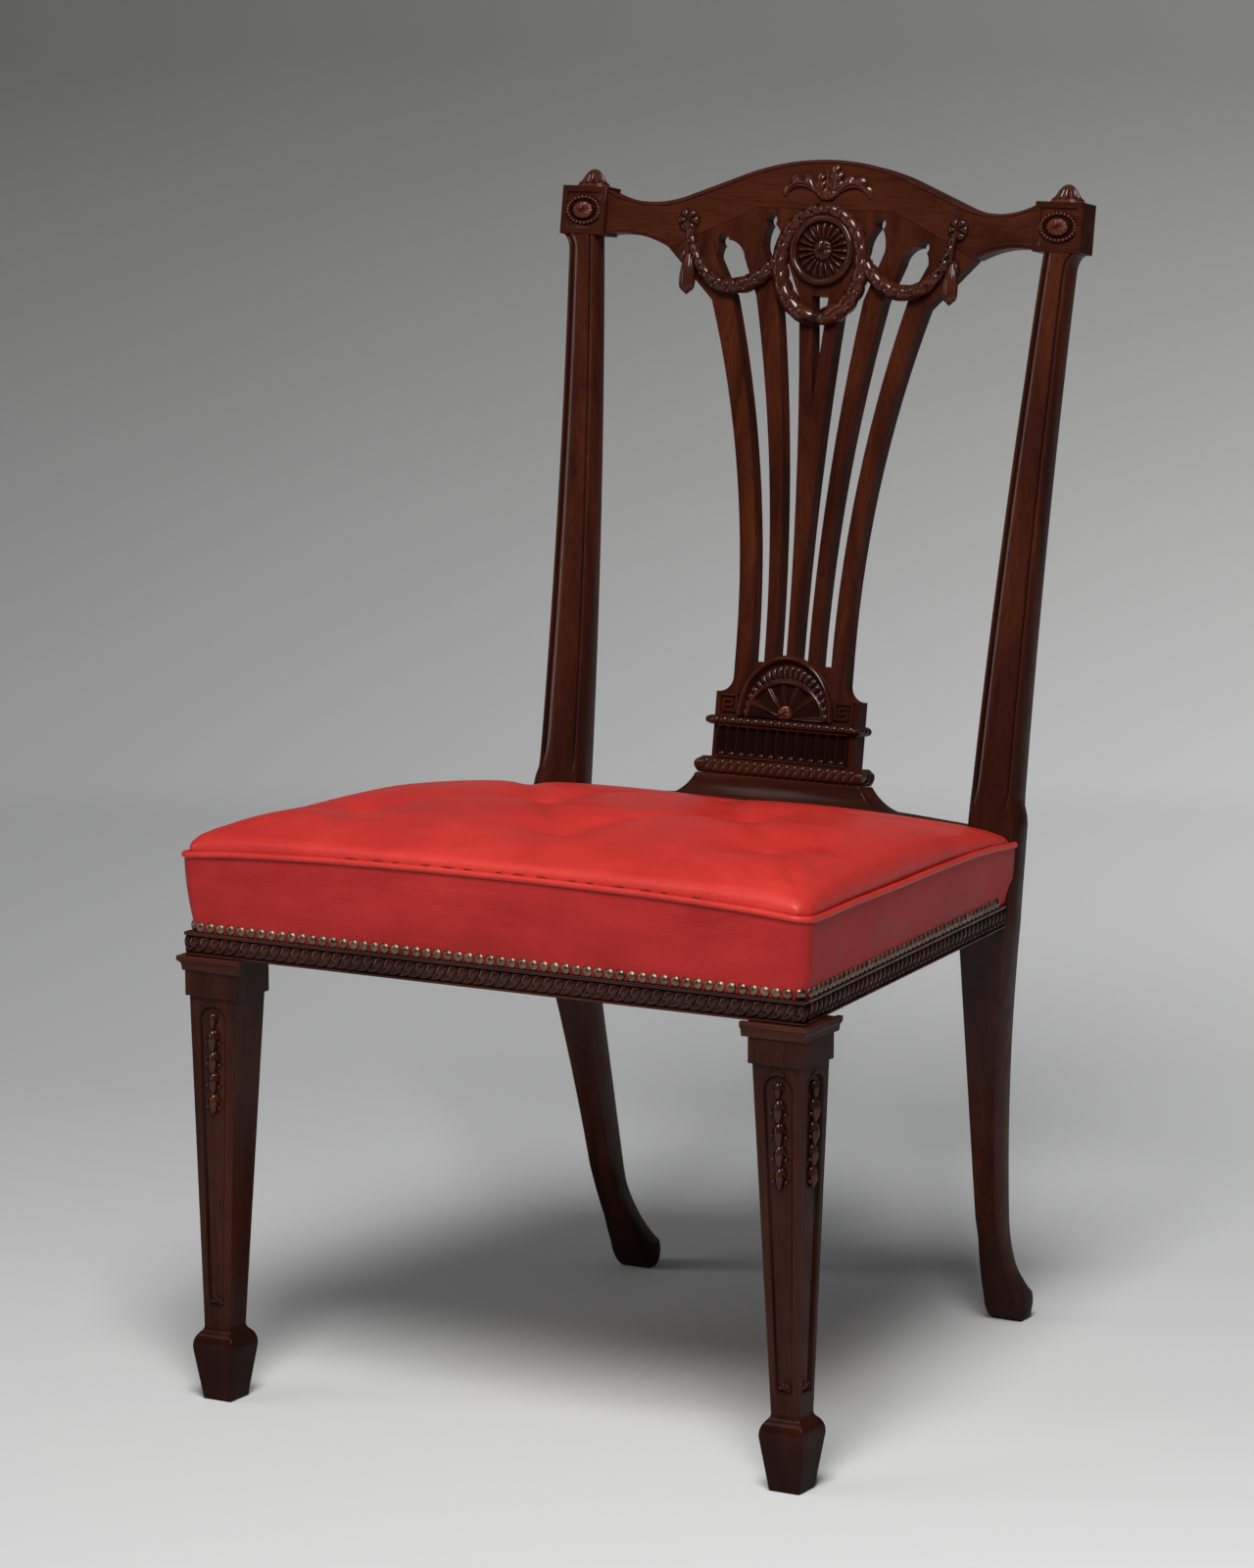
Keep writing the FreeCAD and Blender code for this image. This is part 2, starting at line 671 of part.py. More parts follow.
front_rail = new_body("front_rail_body")
pad(front_rail, outline(front_rail, "XY_Plane", rectangle(
    both_ways(LEG_INNER + " - joint_gap"), (POST_FACE, POST_FACE + " + rail_thickness")), "rail_bottom"),
    "rail_height")
pad(front_rail, outline(front_rail, "XY_Plane", rectangle(
    both_ways(LEG_INNER + " + tenon_length"), about(RAIL_MIDDLE, "tenon_thickness/2")), TENON_LOW),
    "rail_height - 2*tenon_inset")
keep(front_rail, "front_seat_rail")

back_rail = new_body("back_rail_body")
rail_view = [("back_rail_front", BACK_RAIL_BOTTOM), (stile_back(BACK_RAIL_BOTTOM), BACK_RAIL_BOTTOM),
             (stile_back(BACK_RAIL_TOP), BACK_RAIL_TOP), ("back_rail_front", BACK_RAIL_TOP)]
pad(back_rail, outline(back_rail, "YZ_Plane", rail_view, "joint_gap - leg_inner"),
    "2*(leg_inner - joint_gap)")
pad(back_rail, outline(back_rail, "YZ_Plane", rectangle(
    about(BACK_TENON_MIDDLE, "tenon_thickness/2"), BACK_TENON_Z), "-leg_inner - tenon_length"),
    "2*(leg_inner + tenon_length)")
keep(back_rail, "back_seat_rail")

for name, side in SIDES.items():
    back_end = stile_front(RAIL_TOP)
    front_end = POST_BACK + " + joint_gap"
    rail_inside = "rail_setback + rail_thickness"
    plan = [(side_line(y, inset), y) for y, inset in (
        (front_end, "rail_setback"), (back_end, "rail_setback"), (back_end, rail_inside),
        (front_end, rail_inside))]
    sawn = prism("side_rail_plan_" + name, "XY_Plane", plan, BACK_RAIL_BOTTOM,
                 "rail_height + seat_fall", side)
    view = [(POST_BACK, "rail_bottom"), (stile_front(BACK_RAIL_BOTTOM) + " - joint_gap", BACK_RAIL_BOTTOM),
            (stile_front(BACK_RAIL_TOP) + " - joint_gap", BACK_RAIL_TOP), (POST_BACK, RAIL_TOP)]
    ends = prism("side_rail_view_" + name, "YZ_Plane", view, "-seat_front_half", "2*seat_front_half")
    rail = boolean("Common", sawn, ends, "side_rail_blank_" + name)
    front_tenon = block("side_front_tenon_" + name,
                        signed(*about(side_line(POST_BACK, SIDE_RAIL_MIDDLE), "tenon_thickness/2"), side),
                        (POST_BACK + " - tenon_length", POST_BACK + " + tenon_root"), TENON_Z)
    back_tenon = block("side_back_tenon_" + name,
                       signed(*about(side_line("knee_front", SIDE_RAIL_MIDDLE), "tenon_thickness/2"), side),
                       ("knee_front - tenon_root", back_end + " + tenon_length/2"), BACK_TENON_Z)
    keep(joined("side_seat_rail_" + name, rail, front_tenon, back_tenon), "side_seat_rail_" + name)

# Crest rail with its end tablets, in the frame of the back
CREST_END = "(tablet_inner + tablet_border)"
half_crest = [(CREST_END, "crest_end_bottom"), (CREST_END, "crest_end_top", "-sweep_radius"),
              ("sweep_half", "sweep_edge"), ("crown_half", "crown_edge", "crown_radius")]
mirrored = [("-crown_half", "crown_edge"), ("-sweep_half", "sweep_edge", "-sweep_radius"),
            ("-" + CREST_END, "crest_end_top"), ("-" + CREST_END, "crest_end_bottom", "-crest_corner_radius"),
            ("-crest_corner_half", "crest_corner"), ("-seam_half", "seam_height"),
            ("seam_half", "seam_height"), ("crest_corner_half", "crest_corner", "-crest_corner_radius")]
crest_view = prism("crest_view", "XZ_Plane", half_crest + mirrored, *THROUGH, 1, True)
crest_board = boolean("Common", bowed_board("crest_bow", "crest_thickness"), crest_view, "crest_board")
tablets, cuts = [], []
for name, side in SIDES.items():
    z_range = ("tablet_bottom", "tablet_bottom + tablet_height")
    y_range = ("-tablet_front", "tablet_depth - tablet_front")
    x_range = signed("tablet_inner", "tablet_inner + tablet_width", side)
    tablets.append(block("tablet_" + name, x_range, y_range, z_range))
    panel_x = signed("tablet_inner + tablet_border", "tablet_inner + tablet_width - tablet_border", side)
    cuts.append(block("tablet_panel_" + name, panel_x, ("-2*tablet_front", "tablet_sink - tablet_front"),
                      ("tablet_bottom + tablet_border", "tablet_bottom + tablet_height - tablet_border")))
    cuts.append(block("tablet_mortise_" + name,
                      signed(*about(STILE_MIDDLE, "(stile_tenon_width/2 + joint_gap)"), side),
                      about(TABLET_MIDDLE, "(stile_tenon_thickness/2 + joint_gap)"),
                      ("tablet_bottom - tenon_root", "tablet_bottom + stile_tenon_length + joint_gap")))
SPLAT_ROOM = about(SPLAT_MIDDLE, "(splat_tenon_thickness/2 + joint_gap)")
cuts.append(block("crest_mortise", both_ways("splat_tenon_half + joint_gap"), SPLAT_ROOM,
                  ("seam_height - tenon_root", "seam_height + splat_tenon_length + joint_gap")))
crest_whole = joined("crest_whole", crest_board, *tablets)
keep(boolean("Cut", crest_whole, joined("crest_cuts", *cuts), "crest_rail"), "crest_rail", BACK)

# Splat: the outline of the fan, its slots, the pedestal and two tenons
FAN_RADIUS = ("(((fan_head - fan_foot)^2 + (fan_head_half - fan_foot_half)^2)"
              "/(2*(fan_head_half - fan_foot_half)))")
right_edge = [("fan_foot_half + cove_radius", "pedestal_height", "-cove_radius"),
              ("fan_foot_half", "pedestal_height + cove_radius"),
              ("fan_foot_half", "fan_foot", "-%s" % FAN_RADIUS), ("fan_head_half", "fan_head"),
              ("crest_corner_half", "crest_corner - joint_gap"), ("seam_half", "seam_height - joint_gap")]
left_edge = [("-seam_half", "seam_height - joint_gap"), ("-crest_corner_half", "crest_corner - joint_gap"),
             ("-fan_head_half", "fan_head", "-%s" % FAN_RADIUS), ("-fan_foot_half", "fan_foot"),
             ("-fan_foot_half", "pedestal_height + cove_radius", "-cove_radius"),
             ("-(fan_foot_half + cove_radius)", "pedestal_height")]
FAN_LOW = "pedestal_height - tenon_root"
foot_edge = [("-(fan_foot_half + cove_radius)", FAN_LOW), ("fan_foot_half + cove_radius", FAN_LOW)]
fan_view = prism("fan_view", "XZ_Plane", foot_edge + right_edge + left_edge, *THROUGH, 1, True)
fan_board = boolean("Common", bowed_board("splat_bow", "splat_thickness"), fan_view, "fan_board")


def slot(which, side):
    """Slot between two bars: two long arcs that flare outwards, and a looped head with a round eye
    at its tip."""
    foot_out, foot_in, head_out, head_in, loop_out, loop_in, loop_z, tip, top = (
        "%s_%s" % (which, word) for word in (
            "slot_foot_out", "slot_foot_in", "slot_head_out", "slot_head_in", "loop_out", "loop_in",
            "loop_height", "loop_tip", "loop_top"))
    rise = "(slot_shoulder - slot_foot)"
    flare_out = "((%s^2 + (%s - %s)^2)/(2*(%s - %s)))" % (rise, head_out, foot_out, head_out, foot_out)
    flare_in = "((%s^2 + (%s - %s)^2)/(2*(%s - %s)))" % (rise, head_in, foot_in, head_in, foot_in)
    eye_z = "(%s - loop_eye)" % top
    hook = "(%s - %s)*loop_fullness" % (eye_z, loop_z)
    corners = [(foot_out, "slot_foot", "-" + flare_out), (head_out, "slot_shoulder"),
               (loop_out, loop_z, hook), (tip, eye_z, hook), (loop_in, loop_z),
               (head_in, "slot_shoulder", flare_in), (foot_in, "slot_foot")]
    eye = [(tip + " - loop_eye", eye_z, "loop_eye*1.0001"), (tip + " + loop_eye", eye_z, "loop_eye*1.0001")]
    return [prism("%s_%s_%d" % (which, part, side), "XZ_Plane", view, *THROUGH, side, True)
            for part, view in (("slot", corners), ("eye", eye))]


slots = [cut for which in ("outer", "inner") for side in SIDES.values() for cut in slot(which, side)]
slit_view = [("0", "slit_tip"), ("slit_half", "slit_head"), ("-slit_half", "slit_head")]
slit = prism("centre_slit", "XZ_Plane", slit_view, *THROUGH, 1, True)
pierced = boolean("Cut", fan_board, joined("splat_slots", slit, *slots), "pierced_fan")
pedestal = block("splat_pedestal", ("-pedestal_half", "pedestal_half"),
                 ("-pedestal_proud", "pedestal_thickness - pedestal_proud"), ("joint_gap", "pedestal_height"))
tenon_x, tenon_y = both_ways("splat_tenon_half"), about(SPLAT_MIDDLE, "splat_tenon_thickness/2")
foot_tenon = block("splat_foot_tenon", tenon_x, tenon_y, ("-splat_tenon_length", "tenon_root"))
head_tenon = block("splat_head_tenon", tenon_x, tenon_y,
                   ("seam_height - tenon_root", "seam_height + splat_tenon_length"))
keep(joined("splat", pierced, pedestal, foot_tenon, head_tenon), "splat", BACK)

# Shoe that carries the splat on the back rail
SHOE_END = "leg_inner - joint_gap"
SHOE_PEAK = "shoe_top + shoe_ledge*tan(rake)"
SHOE_BACK = "(splat_foot_y + 4*pedestal_thickness)"
shoe_right = [(SHOE_END, BACK_RAIL_TOP), (SHOE_END, "shoe_flank_height - shoe_end_drop"),
              ("shoe_flank_half", "shoe_flank_height", "-shoe_flank_radius"), ("shoe_top_half", SHOE_PEAK)]
shoe_left = [("-shoe_top_half", SHOE_PEAK, "-shoe_flank_radius"), ("-shoe_flank_half", "shoe_flank_height"),
             ("-(%s)" % SHOE_END, "shoe_flank_height - shoe_end_drop"), ("-(%s)" % SHOE_END, BACK_RAIL_TOP)]
shoe_view = prism("shoe_view", "XZ_Plane", shoe_right + shoe_left, "0", "2*shoe_front", 1, True)
shoe_side = prism("shoe_side", "YZ_Plane", [
    ("shoe_front", BACK_RAIL_TOP), (SHOE_BACK, BACK_RAIL_TOP),
    (SHOE_BACK, "shoe_top - (%s - splat_foot_y)*tan(rake)" % SHOE_BACK),
    ("splat_foot_y - shoe_ledge", SHOE_PEAK, "-shoe_cove_radius"),
    ("shoe_front", BACK_RAIL_TOP + " + shoe_lip")],
    "-leg_inner", "2*leg_inner")
shoe_bow = bow_cylinder("shoe_bow", "bow_radius + splat_foot_y + pedestal_thickness - pedestal_proud",
                        "rail_bottom", "2*shoe_top")
shoe_blank = boolean("Common", boolean("Common", shoe_view, shoe_side, "shoe_form"), shoe_bow, "shoe_blank")
shoe_mortise = back_block("shoe_mortise", both_ways("splat_tenon_half + joint_gap"),
                          SPLAT_ROOM, ("-splat_tenon_length - joint_gap", "splat_tenon_length"))
keep(boolean("Cut", shoe_blank, shoe_mortise, "splat_shoe"), "splat_shoe")


def pedestal_moulding(label, overhang, proud, low, height):
    """Moulding round the front and sides of the pedestal, with bevelled edges."""
    levels = (low, "%s + %s" % (low, height))
    ring = block(label + "_ring", both_ways("pedestal_half + " + overhang),
                 ("-pedestal_proud - " + proud, "pedestal_thickness - pedestal_proud"), levels)
    core = block(label + "_core", both_ways("pedestal_half + joint_gap"),
                 ("-pedestal_proud - joint_gap", "2*pedestal_thickness"), levels)
    wrapped = boolean("Cut", ring, core, label + "_blank")
    bevelled(wrapped, label, "min(moulding_chamfer; 0.4*%s)" % height, "pedestal_half + " + overhang,
             "pedestal_proud + " + proud, levels, BACK)


pedestal_moulding("splat_gadroon_moulding", "gadroon_overhang", "gadroon_proud", "joint_gap",
                  "gadroon_height")
pedestal_moulding("splat_bead_moulding", "bead_overhang", "bead_proud", "bead_bottom", "bead_height")

# Carved ornament: each piece is cut to lie on the hollow face of the back
face_air = bow_cylinder("face_air", "bow_radius - joint_gap", "0", "2*crest_top")


def carving(label, raw):
    return keep(boolean("Common", raw, face_air, label), label, BACK)


medallion = new_body("medallion_turning")
RIM_INSIDE = "medallion_radius - medallion_rim"
turned = outline(medallion, "XY_Plane", [
    ("0", "medallion_proud/2"), ("medallion_radius", "medallion_proud/2"),
    ("medallion_radius", "-medallion_proud*2/3"), ("medallion_radius - medallion_rim/2", "-medallion_proud"),
    (RIM_INSIDE, "-medallion_proud*2/3"), (RIM_INSIDE, "-medallion_dish"),
    ("medallion_boss_radius", "-medallion_dish"), ("medallion_boss_radius/2", "-medallion_proud*5/6"),
    ("0", "-medallion_proud")])
turning = medallion.newObject("PartDesign::Revolution", "medallion_revolution")
turning.Profile = turned
turning.ReferenceAxis = (turned, ["V_Axis"])
turning.Angle = 360
medallion.setExpression("Placement.Base.z", bound("medallion_height"))
carving("medallion", medallion)

UPRIGHT = Rotation(Vector(1, 0, 0), 90)


def oval(half_width, half_height, low, high, centre):
    """Oval disc standing on the face of the back, between two depths."""
    curve = Part.Ellipse(Vector(0, 0, 0), half_height, half_width)
    disc = Part.Face(Part.Wire(curve.toShape())).extrude(Vector(0, 0, high - low))
    disc.Placement = Placement(Vector(0, -low, centre), UPRIGHT.multiply(Rotation(Vector(0, 0, 1), 90)))
    return disc


wide, tall = value("wreath_half_width"), value("wreath_half_height")
band, proud = value("wreath_band"), value("wreath_proud")
outer_oval = oval(wide, tall, -proud, proud, value("wreath_height"))
ring = outer_oval.cut(oval(wide - band, tall - band, -2*proud, 2*proud, value("wreath_height")))
wreath_blank = doc.addObject("Part::Feature", "wreath_ring")
wreath_blank.Shape = ring
wreath_round = doc.addObject("Part::Chamfer", "wreath_rounded")
wreath_round.Base = wreath_blank
wreath_chamfer = value("wreath_chamfer")
front_edges = [number for number, edge in enumerate(ring.Edges, start=1)
               if edge.BoundBox.YMax < wreath_chamfer - proud and edge.Length > band]
wreath_round.Edges = [(number, wreath_chamfer, wreath_chamfer) for number in front_edges]
wreath_seat = bind(doc.addObject("Part::Cylinder", "wreath_seat"), Radius="medallion_radius + joint_gap",
                   Height="4*wreath_proud")
wreath_seat.Placement = Placement(Vector(0, 2*proud, value("medallion_height")), UPRIGHT)
carving("laurel_wreath", boolean("Cut", wreath_round, wreath_seat, "wreath_seated"))

for name, side in SIDES.items():
    rosette = bind(doc.addObject("Part::Ellipsoid", "rosette_blank_" + name), Radius1="rosette_radius",
                   Radius2="rosette_radius", Radius3="2*rosette_proud")
    inward = "(rosette_half^2/(2*bow_radius))"
    rosette.Placement.Base = Vector(side*value("rosette_half"), value("rosette_proud") - value(inward),
                                    value("rosette_height"))
    carving("crest_rosette_" + name, rosette)

    drop = bind(doc.addObject("Part::Ellipsoid", "drop_blank_" + name), Radius1="drop_half_length",
                Radius2="drop_radius", Radius3="drop_radius")
    drop.Placement.Base = Vector(side*value("drop_half"), -value("drop_half^2/(2*bow_radius)"),
                                 value("drop_height"))
    carving("husk_drop_" + name, drop)

    inner = Vector(value("swag_inner_half"), 0, value("swag_inner_height"))
    outer = Vector(value("drop_half - 1.5*drop_radius"), 0, value("swag_outer_height"))
    chord = outer - inner
    sag = value("swag_sag")
    radius = (chord.Length**2/4 + sag**2)/(2*sag)
    normal = Vector(-chord.z, 0, chord.x).normalize()
    centre = (inner + outer)/2 + normal*(radius - sag)
    begin, finish = (math.degrees(math.atan2(p.z - centre.z, p.x - centre.x)) for p in (inner, outer))
    swag = bind(doc.addObject("Part::Torus", "swag_blank_" + name), Radius2="swag_radius")
    swag.Radius1 = radius
    swag.Angle3 = (finish - begin) % 360
    lean = -value("swag_inner_half*drop_half/(2*bow_radius)")
    turn = Rotation(Vector(0, 0, 1), begin if side > 0 else 180 - finish)
    swag.Placement = Placement(Vector(side*centre.x, lean, centre.z), UPRIGHT.multiply(turn))
    wreath_room = doc.addObject("Part::Feature", "swag_room_" + name)
    gap = 2*value("joint_gap")
    wreath_room.Shape = oval(wide + gap, tall + gap, -2*proud, 2*proud, value("wreath_height"))
    drop_room = bind(doc.addObject("Part::Ellipsoid", "swag_drop_room_" + name),
                     Radius1="drop_half_length + 2*joint_gap", Radius2="drop_radius + 2*joint_gap",
                     Radius3="drop_radius + 2*joint_gap")
    drop_room.Placement = drop.Placement
    rooms = joined("swag_rooms_" + name, wreath_room, drop_room)
    carving("laurel_swag_" + name, boolean("Cut", swag, rooms, "swag_cut_" + name))

    patera = bind(doc.addObject("Part::Ellipsoid", "patera_blank_" + name), Radius1="patera_half_height",
                  Radius2="patera_half_width", Radius3="patera_proud")
    tablet_x = side*value("tablet_inner + tablet_width/2")
    panel_face = "tablet_sink - tablet_front - joint_gap"
    patera.Placement.Base = Vector(tablet_x, value(panel_face), value("tablet_bottom + tablet_height/2"))
    ahead = block("patera_side_" + name, signed("tablet_inner", "tablet_inner + tablet_width", side),
                  ("-3*tablet_front", panel_face), ("tablet_bottom", "tablet_bottom + tablet_height"))
    keep(boolean("Common", patera, ahead, "tablet_patera_" + name), "tablet_patera_" + name, BACK)

    finial = bind(doc.addObject("Part::Ellipsoid", "tablet_finial_" + name), Radius1="finial_height",
                  Radius2="finial_radius", Radius3="tablet_depth/2 - finial_setback")
    finial.Angle1 = 0
    spot = Vector(tablet_x, value(TABLET_MIDDLE + " + finial_setback"),
                  value("tablet_bottom + tablet_height"))
    keep(finial, "tablet_finial_" + name, BACK.multiply(Placement(spot, Rotation())))

LEAF_RISE = "(leaf_top - leaf_bottom)"
leaf_low, leaf_wide, leaf_neck = (
    "leaf_bottom + %s*%s" % (LEAF_RISE, share) for share in ("0.1", "0.45", "0.7"))
leaf = prism("leaf_blank", "XZ_Plane", [
    ("-leaf_half*0.25", "leaf_bottom"), ("leaf_half*0.25", "leaf_bottom", "leaf_half"),
    ("leaf_half", leaf_low), ("leaf_half*0.85", leaf_wide, "leaf_half"), ("leaf_half*0.3", leaf_neck),
    ("0", "leaf_top"), ("-leaf_half*0.3", leaf_neck, "leaf_half"), ("-leaf_half*0.85", leaf_wide),
    ("-leaf_half", leaf_low, "leaf_half")], "leaf_proud", "3*leaf_proud", 1, True)
carving("leaf_spray", leaf)

lunette = new_body("lunette_blank")
for radius, proud_by in (("lunette_radius", "lunette_proud"), ("lunette_inner_radius", "1.6*lunette_proud")):
    half_round = [("-%s" % radius, "lunette_bottom"), (radius, "lunette_bottom", radius + "*1.0001"),
                  ("0", "lunette_bottom + " + radius, radius + "*1.0001")]
    pad(lunette, outline(lunette, "XZ_Plane", half_round, "pedestal_proud + joint_gap + " + proud_by),
        proud_by, True)
keep(lunette, "lunette_patera", BACK)

# Corner blocks glued inside the rails
INSIDE = "rail_setback + rail_thickness + joint_gap"
INSIDE_FRONT = "(%s + rail_thickness + joint_gap)" % POST_FACE
INSIDE_BACK = "(back_rail_front - joint_gap)"
BLOCK_BOTTOM = "(%s - block_drop - block_height)" % RAIL_TOP
LEG_SIDE = "(%s - joint_gap)" % LEG_INNER
LEG_REAR = "(%s + joint_gap)" % POST_BACK
front_block = [(LEG_SIDE + " - block_size", INSIDE_FRONT), (LEG_SIDE, INSIDE_FRONT), (LEG_SIDE, LEG_REAR),
               (side_line(LEG_REAR, INSIDE), LEG_REAR),
               (side_line(INSIDE_FRONT + " + block_size", INSIDE), INSIDE_FRONT + " + block_size")]
rear_corner = side_line(INSIDE_BACK, INSIDE)
back_block_plan = [(side_line(INSIDE_BACK + " - block_size", INSIDE), INSIDE_BACK + " - block_size"),
                   (rear_corner, INSIDE_BACK), (rear_corner + " - block_size", INSIDE_BACK)]
for name, side in SIDES.items():
    for end, plan in (("front", front_block), ("back", back_block_plan)):
        label = "%s_corner_block_%s" % (end, name)
        keep(prism(label + "_body", "XY_Plane", plan, BLOCK_BOTTOM, "block_height", side), label)

# Webbing and hessian
rail_top = value(RAIL_TOP)
front_face = value(POST_FACE)
edge_front = -value("front_reach")
clear = value("soft_gap")
seat_back = value("seat_back_edge")
web_width, web_thick = value("web_width"), value("web_thickness")
web_step = web_width + value("web_gap")
web_layer = web_thick + value("joint_gap")


def plan_points(inset, y_low, y_high):
    """Corners of the seat's tapered plan, counter-clockwise from the front left."""
    x_low, x_high = (value(side_line(str(y), str(inset))) for y in (y_low, y_high))
    return [Vector(-x_low, y_low, 0), Vector(x_low, y_low, 0), Vector(x_high, y_high, 0),
            Vector(-x_high, y_high, 0)]


def sloped(shape):
    """Shape turned down to the back, about the back of the front legs, to lie on the sloping rails."""
    pivot = value(POST_BACK)
    angle = math.degrees(math.atan2(value("seat_fall"), value("shoe_front") - pivot))
    return shape.rotate(Vector(0, pivot, rail_top), Vector(1, 0, 0), -angle)


web_start = front_face + value("web_margin")
web_length = value("shoe_front") - clear - web_start
web_count = int(value("web_count"))
lengthways = []
for number in range(web_count):
    x = (number - (web_count - 1)/2)*web_step - web_width/2
    lengthways.append(Part.makeBox(web_width, web_length, web_thick, Vector(x, web_start, rail_top)))
solid("seat_webbing_lengthways", sloped(Part.makeCompound(lengthways)))
crossways = []
for number in range(web_count):
    y = value(INSIDE_FRONT) + value("web_gap") + number*web_step
    reach = value(side_line(str(y + web_width), "rail_setback + web_margin"))
    crossways.append(Part.makeBox(2*reach, web_width, web_thick, Vector(-reach, y, rail_top + web_layer)))
solid("seat_webbing_crossways", sloped(Part.makeCompound(crossways)))

# Room that the raked stiles take from everything soft
stile_low, stile_high = value("knee_height"), value("stile_top")
beyond = value("2*seat_front_half")
rake_line = polygon([Vector(-beyond, value(stile_front(str(z))) - clear + extra, z) for z, extra in (
    (stile_low, 0), (stile_high, 0), (stile_high, beyond), (stile_low, beyond))])
behind_stiles = Part.Face(rake_line).extrude(Vector(2*beyond, 0, 0))
between_stiles = Part.makeBox(2*(value("leg_inner") - clear), 2*beyond, 2*stile_high,
                              Vector(clear - value("leg_inner"), -beyond, 0))
stile_room = behind_stiles.cut(between_stiles)

cloth_low = rail_top + 2*web_layer
cloth_thick = value("hessian_thickness")
cloth_inset = value("rail_setback + web_margin/2")
cloth = Part.Face(polygon(plan_points(cloth_inset, edge_front + cloth_inset, seat_back)))
cloth.translate(Vector(0, 0, cloth_low))
solid("seat_hessian", sloped(cloth.extrude(Vector(0, 0, cloth_thick))).cut(stile_room))


# Stuffed seat: contours stacked from the welt to the flat of the crown
def rounded_plan(inset, y_low, y_high, radius, z, fall=0):
    """Tapered plan with rounded corners, as one wire of lines and arcs that falls towards the back."""
    corners = plan_points(inset, y_low, y_high)
    bends = []
    for index, corner in enumerate(corners):
        before = (corners[index - 1] - corner).normalize()
        after = (corners[(index + 1) % 4] - corner).normalize()
        half_angle = before.getAngle(after)/2
        reach = radius/math.tan(half_angle)
        bisector = (before + after).normalize()
        middle = corner + bisector*(radius/math.sin(half_angle) - radius)
        bends.append((corner + before*reach, middle, corner + after*reach))
    edges = []
    for index, (start, middle, end) in enumerate(bends):
        edges.append(Part.Arc(start, middle, end).toShape())
        edges.append(Part.LineSegment(end, bends[(index + 1) % 4][0]).toShape())
    wire = Part.Wire(edges)
    angle = math.degrees(math.atan2(fall, value("knee_front") - edge_front))
    wire.rotate(Vector(0, edge_front, 0), Vector(1, 0, 0), -angle)
    wire.translate(Vector(0, 0, z))
    return wire


welt_z, welt_fall = value("welt_height"), value("welt_fall")
corner_radius = value("seat_corner_radius")
leather = value("leather_thickness")
# Each contour: how far it is drawn in from the welt, and its share of the crown's rise
CONTOURS = ((0, 0), (3, 0.28), (12, 0.62), (32, 0.86), (75, 1))


def crown(skin):
    """Contours of the crowned seat, drawn in and lowered by the thickness of a skin."""
    wires = []
    for inset, share in CONTOURS:
        wires.append(rounded_plan(inset + skin, edge_front + inset + skin, seat_back - 2*inset - skin,
                                  corner_radius + inset/3, welt_z + share*value("crown_rise") - skin,
                                  welt_fall + share*value("crown_fall")))
    return wires


# Rows of tufts from front to back, with their places across as shares of the widest
TUFT_ROWS = ((-1, (-1, 0, 1)), (0, (-0.5, 0.5)), (1, (-1, 0, 1)))
crown_slope = value("(welt_fall + crown_fall)/(knee_front + front_reach)")
tuft_spots = []
for row, places in TUFT_ROWS:
    y = value("tuft_middle") + row*value("tuft_deep")
    crown_z = value("welt_height + crown_rise") - crown_slope*(y - edge_front)
    for place in places:
        tuft_spots.append(Vector(place*value("tuft_across"), y, crown_z + value("tuft_radius - tuft_depth")))


def sewn(wires, skin):
    """Crowned form with the sewn tufts pressed into it."""
    balls = [Part.makeSphere(value("tuft_radius") + skin, spot) for spot in tuft_spots]
    return Part.makeLoft(wires, True, True).cut(Part.makeCompound(balls)).cut(stile_room)


solid("leather_seat_top", sewn(crown(0), 0).cut(sewn(crown(leather), leather)))
stuffing_skin = leather + 2*clear
foot_inset = value("rail_setback")
stuffing_foot = rounded_plan(foot_inset, edge_front + foot_inset, seat_back - stuffing_skin, corner_radius, 0)
stuffing_foot.translate(Vector(0, 0, cloth_low + cloth_thick + clear))
solid("seat_stuffing", sewn([sloped(stuffing_foot)] + crown(stuffing_skin), stuffing_skin))

# Leather border round the front and the sides, and the welt along its top
border_low, border_top = value("rail_bottom + moulding_height") + clear, welt_z - clear
border_inset = value("rail_setback") - leather - clear
border_end = seat_back + 2*corner_radius


def border_form(skin):
    """Solid within the border: it leans out from the rails to the welt."""
    low = rounded_plan(border_inset + skin, edge_front + border_inset + skin, border_end, corner_radius,
                       border_low, value("seat_fall"))
    high = rounded_plan(skin, edge_front + skin, border_end, corner_radius, border_top, welt_fall)
    return Part.makeLoft([low, high], True, True)


solid("leather_border", border_form(0).cut(border_form(leather)).cut(behind_stiles))

welt_radius = value("welt_radius")
welt_out = welt_radius + clear
welt_line = rounded_plan(-welt_out, edge_front - welt_out, border_end, corner_radius + welt_out, welt_z,
                         welt_fall)
path = Part.Wire(Part.__sortEdges__([welt_line.Edges[index] for index in (7, 0, 1, 2, 3)]))
start = path.Edges[0].Vertexes[0].Point
heading = path.Edges[0].tangentAt(path.Edges[0].FirstParameter)
section = Part.Wire(Part.Circle(start, heading, welt_radius).toShape())
solid("seat_welt", path.makePipeShell([section], True, False).cut(behind_stiles))

# Rail mouldings, mitred at the front corners
band_low, band_high = value("rail_bottom + joint_gap"), value("rail_bottom + moulding_height")
band_depth = value("rail_setback - joint_gap")
fillet, groove = value("moulding_fillet"), value("moulding_groove")
slope, stretch = value(SIDE_SLOPE), value(SIDE_STRETCH)
fall_slope = value("seat_fall/(knee_front + front_reach)")


